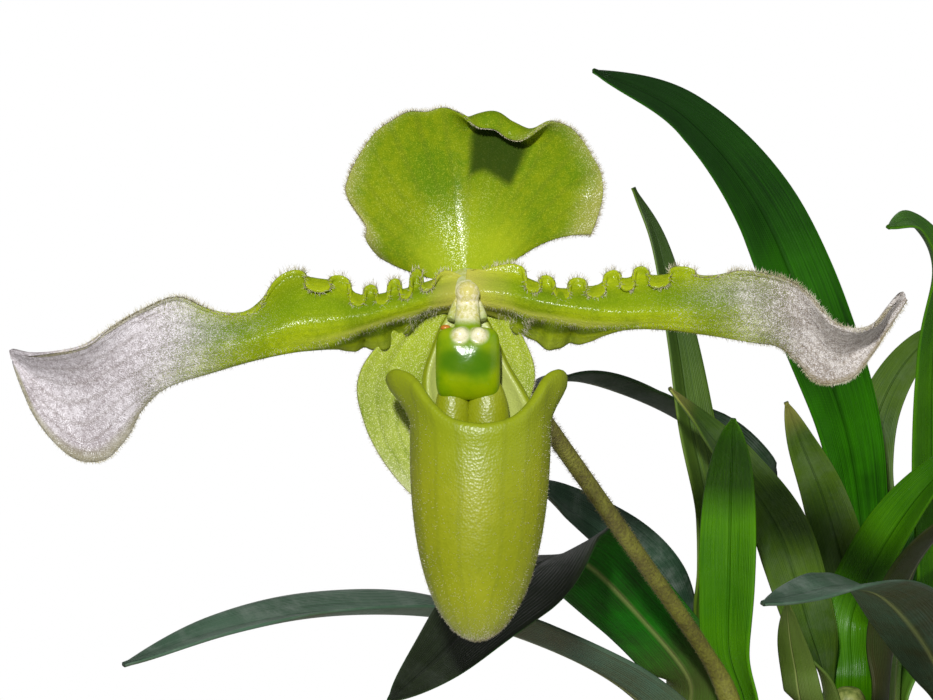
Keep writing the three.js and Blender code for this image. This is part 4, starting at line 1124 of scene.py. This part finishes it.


# %% [markdown]
# ## Petal skin
#
# The inner half of a petal is a clear yellow-green. Painted shade darkens the groove along its middle and
# the crease below the ridge, and a painted highlight lightens the ridge. Toward the end the green gives way
# to a pale silvery grey. Where the colours change follows u, the share of the way from base to tip,
# disturbed by noise so that no edge shows. Small glassy cells sparkle all over it: each sparkle is painted
# as a pale dot in the colour, under a clear glaze.


# %% Petal finish
def petal_finish(name, change, pearl_dark, pearl_light, end_colour):
    """A gradient along the petal, veins along it, painted shade and highlight, and painted glints of glassy
    cells.
    """
    skin = Finish(name, roughness=0.5, shine=0.1)
    u, v, _ = skin.uv()
    spot = skin.place()
    clouds = skin.noise(spot, 140.0, 4.0, 0.6)
    fine = skin.noise(spot, 1500.0, 3.0, 0.6)
    grain = skin.noise(spot, 6000.0, 2.0, 0.5)
    glint = grain.ramp(0.54, 0.66)
    where = u + (clouds - 0.5) * 0.14 - (v - 0.45).abs() * 0.12 + (grain - 0.5) * 0.35
    silver = where.ramp(change - 0.12, change + 0.1)
    veins = (v * 60.0 + clouds * 7.0).sine()
    # painted shade in the groove along the middle of the petal
    channel_shade = 1.0 - (v - 0.42).abs().ramp(0.0, 0.2)
    crest = 1.0 - v.ramp(0.0, 0.16)
    # painted highlight along the ridge
    ridge = (1.0 - (v - 0.69).abs().ramp(0.0, 0.07)) * (1.0 - u.ramp(0.2, 0.4))
    # painted shade in the crease below the ridge
    crease = (1.0 - (v - 0.79).abs().ramp(0.02, 0.07)) * (1.0 - u.ramp(0.22, 0.34))
    base = 1.0 - (u + (clouds - 0.5) * 0.04).ramp(0.0, 0.06)
    green = skin.layered(
        skin.mix((clouds * 0.7 + fine * 0.3).ramp(0.35, 0.65), "768a02", "9cac0a"),
        (channel_shade * 0.6, "5c8002"),
        (crest * 0.35, "a6b418"),
        (ridge * 0.7, "b4b64c"),
        (crease * 0.75, "3e5602"),
        (v.ramp(0.84, 0.95) * 0.4, "9ba63e"),
        (veins.ramp(0.55, 1.0) * 0.2, "667c0e"),
        (base * 0.6, "cbbb62"),
        # painted glints of the glassy cells: pale dots in the green
        (glint * 0.25, "bcca3c"),
    )
    pearl = skin.mix((fine * 0.4 + clouds * 0.4 + grain * 0.3).ramp(0.4, 0.72), pearl_dark, pearl_light)
    # painted glints: near-white dots on the silvery part
    pearl = skin.layered(pearl, (veins.ramp(0.5, 1.0) * 0.35, "857a74"), (glint * 0.55, "f6f2f6"))
    shown = skin.mix(silver, green, pearl)
    hem = v.ramp(0.86, 0.985) + (1.0 - v.ramp(0.015, 0.09))
    shown = skin.mix(hem * u.ramp(0.45, 0.7) * 0.6, shown, end_colour)
    skin.colour(shown)
    skin.glaze(glint * (0.75 - silver * 0.55), 0.27)
    skin.rough(0.8 - glint * 0.2)
    skin.relief(grain * (silver * 1.4 + 1.2) + fine * 0.8 + veins * 0.1, 0.0001)
    return skin.material


PETALS = {"right": petal_at(PETAL_RIGHT, FRILL_RIGHT), "left": petal_at(PETAL_LEFT, FRILL_LEFT)}
PETAL_SKINS = {
    "right": petal_finish("petal_skin_right", 0.49, "908478", "e8e2dc", "7e7040"),
    "left": petal_finish("petal_skin_left", 0.51, "a89ea0", "f0eaee", "86824a"),
}
thick = PETAL["thick"] * edge_thin(PETAL["columns"], 0.45)
for side, at in PETALS.items():
    sheet_piece(f"frilled_petal_{side}", at(*net(PETAL)), thick, PETAL_SKINS[side], "petal", f"petal_{side}")

# %% [markdown]
# ## Hairs of the petals
#
# Hairs stand along the crest and along the lower edge. Longer ones grow from the ridge of the inner
# half, and the longest fill the corner between petal and column.

# %% Petal hairs
for number, (side, at) in enumerate(PETALS.items()):
    draw = np.random.default_rng(21 + number)
    u = draw.uniform(0.02, 0.995, 1500)
    root, normal, _, down = on_surface(at, u, 0 * u + 0.004)
    strands(f"petal_{side}_crest_hairs", root, -down + 0.3 * normal * draw.normal(size=(1500, 1)),
            0.42 + 0.6 * (1 - smooth((u - 0.75) / 0.2)), pale_hair, "petal", 0.036, seed=31 + number)
    u = draw.uniform(0.03, 0.995, 1100)
    root, _, _, down = on_surface(at, u, 0 * u + 0.996)
    strands(f"petal_{side}_edge_hairs", root, down, 0.62, pale_hair, "petal", 0.032, seed=41 + number)
    u = 0.62 * draw.uniform(0, 1, 1300) ** 1.4 + 0.01
    root, normal, _, down = on_surface(at, u, draw.uniform(0.68, 0.76, 1300))
    front = np.where(normal[:, 1:2] > 0, -normal, normal)
    strands(f"petal_{side}_ridge_hairs", root, front + down, 0.95, pale_hair, "petal", 0.03, seed=47 + number)

root = np.concatenate(
    [at(draw.uniform(0.03, 0.085, 130), draw.uniform(0.72, 0.95, 130)) for at in PETALS.values()]
)
side = np.sign(root[:, 0] - FLOWER_AT[0])[:, None]
strands("base_hairs", root, side * [0.5, 0, 0] + [0, -0.8, -0.6], 1.7, pale_hair, "petal", 0.03, seed=49)

# %% [markdown]
# ## Upper sepal
#
# The upper sepal is a fan of rays that start from a narrow waist. Each ray is walked outward while its
# pitch turns slowly forward. At the top the pitch turns on through more than a right angle, and that
# makes the hood. Small ripples grow toward the edge.

# %% Upper sepal shape
DORSAL = {
    "centre": (-0.5, 2.3, 1.45), "start": 1.5, "from": -68, "to": 66, "claw": (0.04, -0.12),
    "lean": -9, "arch": 24, "back": 2.6, "wave": 0.7, "ripples": 9, "thick": 0.8,
    "rays": [
        13.6, 16.4, 17.6, 22.4, 24, 25, 26, 26.9, 27.2, 27.5, 26.8, 27, 25.5,
        25.5, 25.8, 24.8, 25, 27.5, 28.5, 28.1, 27.3, 26.5, 24.9, 22.6, 20.3,
    ],
    "rows": 170, "columns": 90,
}
HOOD = {"middle": 12.5, "spread": 13, "bend": 165, "from": 0.78, "more": 4.5}


def dorsal_at(u, v):
    """Sums short steps along each ray, whose pitch is a lean, an arch and the bend of the hood."""
    u, v = np.broadcast_arrays(u, v)
    parts = 24
    phi = DORSAL["from"] + (DORSAL["to"] - DORSAL["from"]) * u
    reach = 1 - np.clip(1 - v, 0, 1) ** 1.6
    side = (phi / 66) ** 2
    claw = np.where(phi > 0, DORSAL["claw"][1], DORSAL["claw"][0])
    angle = np.radians(phi * (1 + claw * side * np.sin(np.pi * reach)))
    hooded = np.exp(-(((phi - HOOD["middle"]) / HOOD["spread"]) ** 4))
    length = through(DORSAL["rays"], u) - DORSAL["start"] + HOOD["more"] * hooded
    s = reach[..., None] * (np.arange(parts) + 0.5) / parts
    bend = hooded[..., None] * HOOD["bend"] * smooth((s - HOOD["from"]) / (1 - HOOD["from"]))
    pitch = np.radians(DORSAL["lean"] + DORSAL["arch"] * s**2 + bend)
    out = DORSAL["start"] + np.cos(pitch).mean(-1) * length * reach
    forward = np.sin(pitch).mean(-1) * length * reach
    ripple = np.sin(np.radians(phi) * DORSAL["ripples"] + 0.6) * reach**5 * (1 - hooded)
    fine = 0.16 * np.sin(np.radians(phi) * 31) * reach**7
    y = DORSAL["centre"][1] - forward + DORSAL["back"] * side * reach**2 + DORSAL["wave"] * ripple + fine
    x = DORSAL["centre"][0] + out * np.sin(angle)
    return placed(np.stack([x, y, DORSAL["centre"][2] + out * np.cos(angle)], -1))


# %% [markdown]
# ## Sepal skin
#
# The middle of the sepal is a fresh yellow-green with darker veins that fan out from its waist, and the
# margin pales to beige. On the upper sepal u counts the rays from side to side and v the way outward, so
# veins are lines of constant u. On the lower sepals the two change places. Glassy cells glisten down the
# middle, and their glints are also painted into the colour as pale dots. A painted shade darkens the
# front under the hood, where little light comes.


# %% Sepal finish
def sepal_finish(name, heart, leafy_green, margin, veins_count, along_u, glint_paint=0.25):
    """Green in the middle, pale at the margin, with forking veins, painted glints of glassy cells and painted
    shade.
    """
    skin = Finish(name, roughness=0.55, shine=0.1)
    u, v, _ = skin.uv()
    spot = skin.place()
    clouds = skin.noise(spot, 110.0, 4.0, 0.6)
    fine = skin.noise(spot, 1300.0, 3.0, 0.6)
    grain = skin.noise(spot, 6000.0, 2.0, 0.5)
    glint = grain.ramp(0.53, 0.66)
    shelter = skin.mark("shelter")
    across = v if along_u else u
    outward = u if along_u else v
    sideways = (across - 0.5).abs() * 2.0
    veins = (across * veins_count + clouds * 4.0).sine()
    rim = (outward * 0.75 + sideways * 0.35 + clouds * 0.25).ramp(0.85, 1.15)
    middle = 1.0 - (sideways - 0.22).abs().ramp(0.0, 0.28)
    fresh = middle * (1.0 - (outward - 0.4).abs().ramp(0.1, 0.4))
    green = skin.layered(
        skin.mix((clouds * 0.6 + fine * 0.4).ramp(0.3, 0.7) - fresh * 0.45, leafy_green, heart),
        ((1.0 - outward.ramp(0.1, 0.4)) * 0.6, "a6b61c"),
        (veins.ramp(0.5, 1.0) * outward.ramp(0.1, 0.5) * 0.3, "5c6f12"),
        # painted glints of the glassy cells: pale dots in the colour, palest at the margin
        (glint * glint_paint, "c2ca2c"),
        (glint * (rim * 0.8 + (glint_paint - 0.25) * 2.0), "e8e8cc"),
        # painted shade under the hood: the front there is darkened toward a deep green
        (shelter * 0.9, "213402"),
        (rim * 0.6, margin),
    )
    skin.colour(green)
    streak = 1.0 - sideways.ramp(0.02, 0.1)
    skin.rough(0.8 - glint * 0.2)
    skin.glaze((glint * (streak * 0.75 + 0.12) + streak * 0.05) * (1.0 - shelter), 0.18)
    skin.relief(grain * 0.9 + fine * 0.6 + veins * 0.2, 0.00009)
    return skin.material


# Where the painted shade under the hood lies: a band of rays and a span outward.
HOOD_SHADE = {"ray": 0.605, "half": 0.1, "side_fade": 0.035, "from": 0.38, "to": 0.62}
u, v = net(DORSAL)
dorsal_edge = 1 - 0.4 * np.maximum(np.abs(2 * u - 1) ** 12, v**12)
points, faces = sheet(dorsal_at(u, v), DORSAL["thick"] * dorsal_edge)
dorsal_skin = sepal_finish("upper_sepal_skin", "808e04", "587802", "a09c54", 95.0, False)
spread = grid_uv(DORSAL["rows"], DORSAL["columns"])
# A mark of painted shade under the hood, on the front face only.
painted_hood_shade = smooth((HOOD_SHADE["half"] - np.abs(spread[:, 0] - HOOD_SHADE["ray"])) / HOOD_SHADE["side_fade"])
painted_hood_shade *= smooth((spread[:, 1] - HOOD_SHADE["from"]) / 0.05)
painted_hood_shade *= 1 - smooth((spread[:, 1] - HOOD_SHADE["to"]) / 0.06)
in_front = points[:, 1] < np.roll(points[:, 1], len(points) // 2)
painted_hood_shade *= in_front
piece("upper_sepal", points, faces, dorsal_skin, "sepal", ["dorsal_sepal"], spread, shelter=painted_hood_shade)
draw = np.random.default_rng(51)
u = draw.uniform(0, 1, 1500)
root, _, _, outward = on_surface(dorsal_at, u, 0 * u + 0.996)
on_hood = np.exp(-(((u - 0.6) / 0.1) ** 4))
strands("upper_sepal_rim_hairs", root, outward, 0.75 - 0.5 * on_hood, pale_hair, "sepal", 0.034, seed=52)
for number, u_edge in enumerate((0.004, 0.996)):
    v = draw.uniform(0.25, 1, 420)
    root, _, sideways, _ = on_surface(dorsal_at, 0 * v + u_edge, v)
    heading = sideways * (1 if u_edge > 0.5 else -1)
    name = f"upper_sepal_side_hairs_{number}"
    strands(name, root, heading, 0.75, pale_hair, "sepal", 0.034, seed=53 + number)

# %% [markdown]
# ## Lower sepals
#
# The two lower sepals have grown together into one ribbed plate behind the pouch. Its grid runs down a
# midrib and across by a changing width, with cosine ribs that fade toward the tip.

# %% Lower sepals
SYNSEPAL = {
    "midrib": [[-1, 3.1, -0.6], [-3, 4.4, -10], [-3.8, 5, -18], [-3, 4.2, -26], [-2, 2.8, -33]],
    "half": [6.4, 12.6, 11.4, 7.6, 1], "cup": 0.01, "rib": 0.35, "thick": 0.8, "rows": 70, "columns": 64,
}


def synsepal_at(u, v):
    """The midrib point, moved across by s times the half width, and back by the ribs and the cup."""
    u, v = np.broadcast_arrays(u, v)
    s = 2 * v - 1
    w = through(SYNSEPAL["half"], u) * s
    y = SYNSEPAL["rib"] * np.cos(3 * np.pi * s) * (1 - u) - SYNSEPAL["cup"] * w**2
    y = y + 0.12 * np.cos(9 * np.pi * s) * (1 - u)
    return placed(through(SYNSEPAL["midrib"], u) + np.stack([w, y, 0 * w], -1))


thick = SYNSEPAL["thick"] * edge_thin(SYNSEPAL["columns"], 0.4)
low_skin = sepal_finish("lower_sepal_skin", "a2b04a", "7e922a", "c0c494", 56.0, True, glint_paint=0.45)
sheet_piece("lower_sepals", synsepal_at(*net(SYNSEPAL)), thick, low_skin, "sepal", "synsepal")
draw = np.random.default_rng(61)
u = draw.uniform(0.08, 0.97, 700)
edge = np.where(draw.random(700) < 0.5, 0.004, 0.996)
root, _, _, sideways = on_surface(synsepal_at, u, edge)
heading = sideways * np.sign(edge - 0.5)[:, None]
strands("lower_sepal_hairs", root, heading, 0.6, pale_hair, "sepal", 0.032, seed=62)

# %% [markdown]
# ## Pouch
#
# The lip is the slipper: an oval cup with an ear to each side and a claw at the back that joins the
# column. Its rim is a curve of heights round the cup, and below it the cup narrows by a power law to a
# rounded toe. The inner face is the same surface, moved in by the wall, and the rim is rolled to a bead.

# %% Pouch shape
POUCH = {
    "x": 1.7, "y": -9.2, "half": (10, 8.7), "rim_at": -18, "bottom": -48.2, "lean": -3, "sway": -0.5,
    "power": 2.4, "wall": 0.9, "ear": 6.5, "ear_flare": 1.7, "bead": 0.32, "claw": 2.2, "claw_height": 9,
    "rim": [-18.2, -17.9, -17, -15, -12.5, -11, -10.9, -12.8, -16.2, -15.2, -9.4, -3.2, -2.3],
    "around": 144, "down": 60,
}


def pouch_at(turn, t, inset=0.0, lift=0.0):
    """An oval of changing size at each height; turn is 0 in front, and t runs from the rim to the toe."""
    turn, t = np.broadcast_arrays(turn, t)
    rim = through(POUCH["rim"], np.abs(turn) / np.pi) + lift
    bottom = POUCH["bottom"] + np.maximum(inset, 0)
    z = rim + (bottom - rim) * (1 - np.clip(1 - t, 0, 1) ** 1.8)
    q = np.clip((POUCH["rim_at"] - z) / (POUCH["rim_at"] - bottom), 0, 1)
    above = np.maximum(z - POUCH["rim_at"], 0)
    round_in = np.sqrt(np.maximum(1 - q ** POUCH["power"], 0))
    inward = inset * np.minimum(1, round_in * 3)
    far = np.abs(turn)
    spread = 0.35 + 1.3 * smooth((far - 1.05) / 0.7) - 0.65 * smooth((far - 1.9) / 0.6)
    a = (POUCH["half"][0] + POUCH["ear_flare"] * spread * smooth(above / POUCH["ear"])) * round_in - inward
    b = POUCH["half"][1] * round_in - inward
    claw = POUCH["claw"] * smooth(above / POUCH["claw_height"]) * (0.5 - 0.5 * np.cos(turn)) ** 2
    x = POUCH["x"] + POUCH["sway"] * q - claw + a * np.sin(turn)
    y = POUCH["y"] + POUCH["lean"] * q + above * 0.1 - b * np.cos(turn)
    return placed(np.stack([x, y, z], -1))


turn = np.linspace(-np.pi, np.pi, POUCH["around"], endpoint=False)
t = np.linspace(0, 1, POUCH["down"])[:, None]
wall = POUCH["wall"]
bead = POUCH["bead"] * np.exp(-((t / 0.035) ** 2))
shares = (0.08, 0.25, 0.5, 0.75, 0.92)
broad = wall + 2 * POUCH["bead"]
roll = [pouch_at(turn, 0.0, broad * s - POUCH["bead"], broad * np.sqrt(s * (1 - s)))[None] for s in shares]
rings = np.concatenate([pouch_at(turn, t, -bead)[::-1], *roll, pouch_at(turn, t, wall + bead)])
rings = rings[1:-1]
toes = [pouch_at(0.0, 1.0), pouch_at(0.0, 1.0, wall)]
points = np.concatenate([rings.reshape(-1, 3), toes])
faces = capped(len(rings), POUCH["around"])
pouch_u = np.tile(np.abs(turn) / np.pi, len(rings))
pouch_v = np.repeat(np.linspace(-1, 1, len(rings)), POUCH["around"])
pouch_uv = np.concatenate([np.stack([pouch_u, np.abs(pouch_v)], -1), [[0, 1], [0, 1]]])
inside = np.concatenate([pouch_v > 0.02, [False, True]]).astype(float)

# %% [markdown]
# ## Pouch skin
#
# The pouch is olive over yellow, waxy enough for a long highlight down its front. Veins run from the
# rim to the toe, and its surface is pitted. Inside it is paler.

# %% Pouch finish
pouch_skin = Finish("pouch_skin", roughness=0.3, shine=0.4)
u, v, _ = pouch_skin.uv()
spot = pouch_skin.place()
clouds = pouch_skin.noise(spot, 95.0, 4.0, 0.6)
fine = pouch_skin.noise(spot, 1100.0, 3.0, 0.6)
veins = (u * 52.0 + clouds * 5.0).sine()
olive_green = pouch_skin.mix((clouds * 0.8 + fine * 0.3).ramp(0.38, 0.78), "7e8006", "9c9a1c")
olive_green = pouch_skin.mix(v.ramp(0.0, 0.3) * 0.5, "869410", olive_green)
olive_green = pouch_skin.mix(veins.ramp(0.6, 1.0) * 0.18, olive_green, "68721a")
pouch_skin.colour(pouch_skin.mix(pouch_skin.mark("inside"), olive_green, "a9b35c"))
pouch_skin.rough(0.3 + fine * 0.12)
pouch_skin.relief(fine * 0.6 + veins * 0.2 + pouch_skin.cells(spot, 2600.0) * 0.6, 0.00007)
piece("slipper_pouch", points, faces, pouch_skin.material, "lip", ["lip_pouch"], pouch_uv, inside=inside)
draw = np.random.default_rng(71)
turns = draw.uniform(-np.pi, np.pi, 5200)
downs = draw.uniform(0.0, 0.99, 5200)
root, normal, _, _ = on_surface(pouch_at, turns, downs)
POUCH_MIDDLE = placed([1.7, -10, -30])
outward = np.where((normal * (root - POUCH_MIDDLE)).sum(1, keepdims=True) < 0, -normal, normal)
strands("pouch_hairs", root - outward * 0.05, outward, 0.34, pale_hair, "lip", 0.026, seed=72)

# %% [markdown]
# ## Column
#
# In the middle sits the column: a short trunk, a white boss in front of it, two wings with the pollen
# beneath, and a green shield that hangs over the mouth of the pouch. It is one fleshy body, so the round
# parts are melted together by a voxel remesh and smoothed, which leaves soft creases where they meet.

# %% Column shape
COLUMN = {
    "trunk": {"at": (-0.3, 1), "radius": 2.9, "from": -1.6, "to": 3.9},
    "boss": {"at": (-0.1, -2.2, 0.9), "half": (1.75, 1.8, 1.8)},
    "neck": {
        "points": [[0, -2, 0.2], [0, -3.3, -2.4], [0, -4.6, -5]], "radii": (1.05, 1.35),
        "stretch": [1.5, 1, 1], "shift": [-0.15, 0, 0],
    },
    "shield": {"at": (-0.1, -5, -9.2), "half": (4.75, 2.3, 5.4), "square": 0.9, "drawn_in": 0.98},
    "bumps": {"x": (-1.15, 1.45), "y": -6.1, "z": -5.2, "half": (1.25, 0.9, 1.25)},
    "wings": {"points": [[1.3, -0.6, -0.2], [1.9, -1.2, -1.6], [2.4, -1.8, -2.9]], "radius": 0.7},
}
COLUMN_MIDDLE = -0.2


def ball(at, half, sides=36):
    """A sphere of latitude rings, stretched to its half sizes, by the lathe."""
    angle = np.linspace(-np.pi / 2, np.pi / 2, sides // 2)
    points, faces = lathe(np.stack([np.cos(angle), np.sin(angle)], -1), sides)
    return points * half + at, faces


def shield_plate():
    """A sphere whose outline, seen from the front, is pushed toward a square by the sixth-power norm."""
    shape = COLUMN["shield"]
    points, faces = ball((0, 0, 0), (1, 1, 1), 60)
    flat = points[:, [0, 2]]
    square = (flat**6).sum(1, keepdims=True) ** (1 / 6)
    round_off = np.linalg.norm(flat, axis=1, keepdims=True) / np.maximum(square, 1e-9)
    points[:, [0, 2]] = flat * (1 - shape["square"] + shape["square"] * round_off) * shape["drawn_in"]
    return points * shape["half"] + shape["at"], faces


def column_parts():
    """The points and faces of every part of the column, in the flower's frame."""
    trunk = COLUMN["trunk"]
    rod, rod_faces = lathe([[0, 0], [0.5, 0], [0.7, 0.25], [1, 0.5], [1.36, 0.75], [1.36, 1], [0, 1]], 40)
    rod = rod * [trunk["radius"], trunk["radius"], trunk["to"] - trunk["from"]]
    core = np.stack([rod[:, 0], rod[:, 2] + trunk["from"], -rod[:, 1]], -1)
    core += [trunk["at"][0], 0, trunk["at"][1]]
    bend = COLUMN["neck"]
    low, high = bend["radii"]
    neck, neck_faces = tube(Line(bend["points"]), lambda share: low + (high - low) * share, 20, 30)
    bumps = COLUMN["bumps"]
    wings = COLUMN["wings"]
    parts = [
        (core, rod_faces),
        shield_plate(),
        ball(COLUMN["boss"]["at"], COLUMN["boss"]["half"]),
        (neck * bend["stretch"] + bend["shift"], neck_faces),
    ]
    parts += [ball((x, bumps["y"], bumps["z"]), bumps["half"]) for x in bumps["x"]]
    for side in (-1, 1):
        path = [[COLUMN_MIDDLE + side * x, y, z] for x, y, z in wings["points"]]
        parts.append(tube(Line(path), lambda share: wings["radius"] + 0 * share, 12, 24))
    return parts


MELT_GRID = 0.00017


def melted(passing):
    """Joins what overlaps on a fine grid, in metres, and rounds the joints."""
    remesh = passing.modifiers.new("melt", "REMESH")
    remesh.mode = "VOXEL"
    remesh.voxel_size = MELT_GRID
    soften = passing.modifiers.new("soften", "SMOOTH")
    soften.factor = 0.5
    soften.iterations = 7


start = 0
points = []
faces = []
for part, groups in column_parts():
    points.append(part)
    faces += [group + start for group in groups]
    start += len(part)
points, faces = evaluated(placed(np.concatenate(points)), faces, melted)


def near(points, at, half):
    """1 inside a stretched ball and 0 outside it, with a soft edge."""
    away = np.linalg.norm((points - placed(at)) / half, axis=1)
    return 1 - smooth((away - 0.55) / 0.65)


bumps = COLUMN["bumps"]
IVORY = [
    (1, COLUMN["boss"]["at"], (3.2, 3.4, 3.2)),
    *[(1, (x, bumps["y"], bumps["z"]), 1.45) for x in bumps["x"]],
    (0.85, (-0.15, -3.4, -2.2), (2.3, 2.2, 2.6)),
    (0.5, (-0.2, 0.6, 1.5), (5, 3.4, 5)),
    (0.6, (-0.2, -1.2, -1.8), (3.6, 2.2, 2.6)),
]
DEEP = {"at": (0.1, -7, -8.9), "half": (5.2, 3.6, 2.2)}
white = np.max([share * near(points, at, half) for share, at, half in IVORY], axis=0)
dark = near(points, DEEP["at"], DEEP["half"])

# %% [markdown]
# ## Column skin
#
# The shield is a wet, polished green, deepest in its middle. The boss and the two bumps are ivory with
# small green specks. Soft masks for both were worked out on the mesh, from the distance to each part.

# %% Column finish
column_skin = Finish("column_skin", roughness=0.22, shine=0.3)
spot = column_skin.place()
specks = column_skin.noise(spot, 1900.0, 3.0, 0.7)
clouds = column_skin.noise(spot, 260.0, 3.0, 0.5)
shield_green = column_skin.mix(clouds.ramp(0.3, 0.7), "668a02", "869c04")
shield_green = column_skin.mix(column_skin.mark("dark") * 0.7, shield_green, "306402")
ivory = column_skin.mix((specks * 0.5 + clouds * 0.5).ramp(0.42, 0.62), "f0e8c8", "c9c06c")
column_skin.colour(column_skin.mix(column_skin.mark("white"), shield_green, ivory))
column_skin.rough(0.14 + specks * 0.1)
column_skin.relief(specks * 0.6 + clouds * 1.5, 0.00004)
piece("fleshy_column", points, faces, column_skin.material, "column", ["column"], white=white, dark=dark)

# %% [markdown]
# ## Lobes and pollen
#
# Behind the mouth of the pouch its two side lobes fold inward and almost meet, with a dark slit between
# them. Beside the neck of the column shows a small lump of orange pollen. Each is a stretched ball, and
# the lobes borrow the skin of the pouch at one place near its rim.

# %% Lobes and pollen
LOBES = [((-2.35, -4.2, -17.4), (2.6, 2.1, 6.6)), ((2.75, -4.2, -17.4), (3.1, 2.1, 6.6))]
LOBE_SKIN_AT = (0.06, 0.2)
POLLEN = {"at": (-3.3, -4.5, -4.1), "half": (0.75, 0.7, 0.5)}
for number, (at, half) in enumerate(LOBES):
    points, faces = ball(at, half, 48)
    outer = np.zeros(len(points))
    spread = np.full((len(points), 2), LOBE_SKIN_AT)
    name = f"pouch_lobe_{number + 1}"
    piece(name, placed(points), faces, pouch_skin.material, "lip", (), spread, inside=outer)
pollen = Finish("pollen_paste", roughness=0.3)
pollen.colour(pollen.mix(pollen.noise(pollen.place(), 1500.0), "a85c14", "c8842c"))
points, faces = ball(POLLEN["at"], POLLEN["half"], 24)
piece("pollen", placed(points), faces, pollen.material, "column")

# %% [markdown]
# ## Light and floor
#
# The pot stands on a pale round floor, and all beyond it is plain white. The key lamp is small and stands
# above the camera, a little to its left, so the flower throws a clear shadow down on the leaves. A broad
# weak lamp on the right softens the dark side, and one behind lights the edges. The world lights the
# shadows more weakly than it looks, which keeps the background white and the leaves dark.

# %% Light and floor
FLOOR_REACH = 360
turn = np.linspace(0, 2 * np.pi, 96, endpoint=False)
ring = np.stack([np.cos(turn), np.sin(turn), 0 * turn], -1) * FLOOR_REACH
floor_mesh = mesh_of("floor", ring, np.arange(len(ring))[None])
floor_finish = Finish("pale_floor", roughness=0.9)
floor_finish.put(floor_finish.shader.inputs["Base Color"], "f4f4f2")
floor_mesh.materials.append(floor_finish.material)
floor = linked("floor", floor_mesh)

FILL_LIGHT = 0.15
world = bpy.data.worlds.new("studio")
world.use_nodes = True
tree = world.node_tree
fill = tree.nodes["Background"]
fill.inputs["Color"].default_value = (1, 1, 1, 1)
fill.inputs["Strength"].default_value = FILL_LIGHT
backdrop = tree.nodes.new("ShaderNodeBackground")
backdrop.inputs["Color"].default_value = (1, 1, 1, 1)
seen = tree.nodes.new("ShaderNodeLightPath")
choose = tree.nodes.new("ShaderNodeMixShader")
tree.links.new(seen.outputs["Is Camera Ray"], choose.inputs[0])
tree.links.new(fill.outputs[0], choose.inputs[1])
tree.links.new(backdrop.outputs[0], choose.inputs[2])
tree.links.new(choose.outputs[0], tree.nodes["World Output"].inputs["Surface"])
bpy.context.scene.world = world


def lamp(name, at, size, watts, towards):
    """A square lamp at a place in millimetres, turned to face another."""
    data = bpy.data.lights.new(name, "AREA")
    data.size = size
    data.energy = watts
    made = linked(name, data)
    made.location = Vector(at) / 1000
    aim = Vector(towards) / 1000 - made.location
    made.rotation_euler = aim.to_track_quat("-Z", "Y").to_euler()


lamp("key", (-108, -575, 485), 0.03, 3.4, (-50, -60, 200))
lamp("side", (420, -250, 420), 0.4, 0.35, (0, 0, 180))
lamp("back", (-120, 620, 460), 0.5, 0.7, (0, 0, 150))
bpy.context.scene.view_settings.view_transform = "Standard"
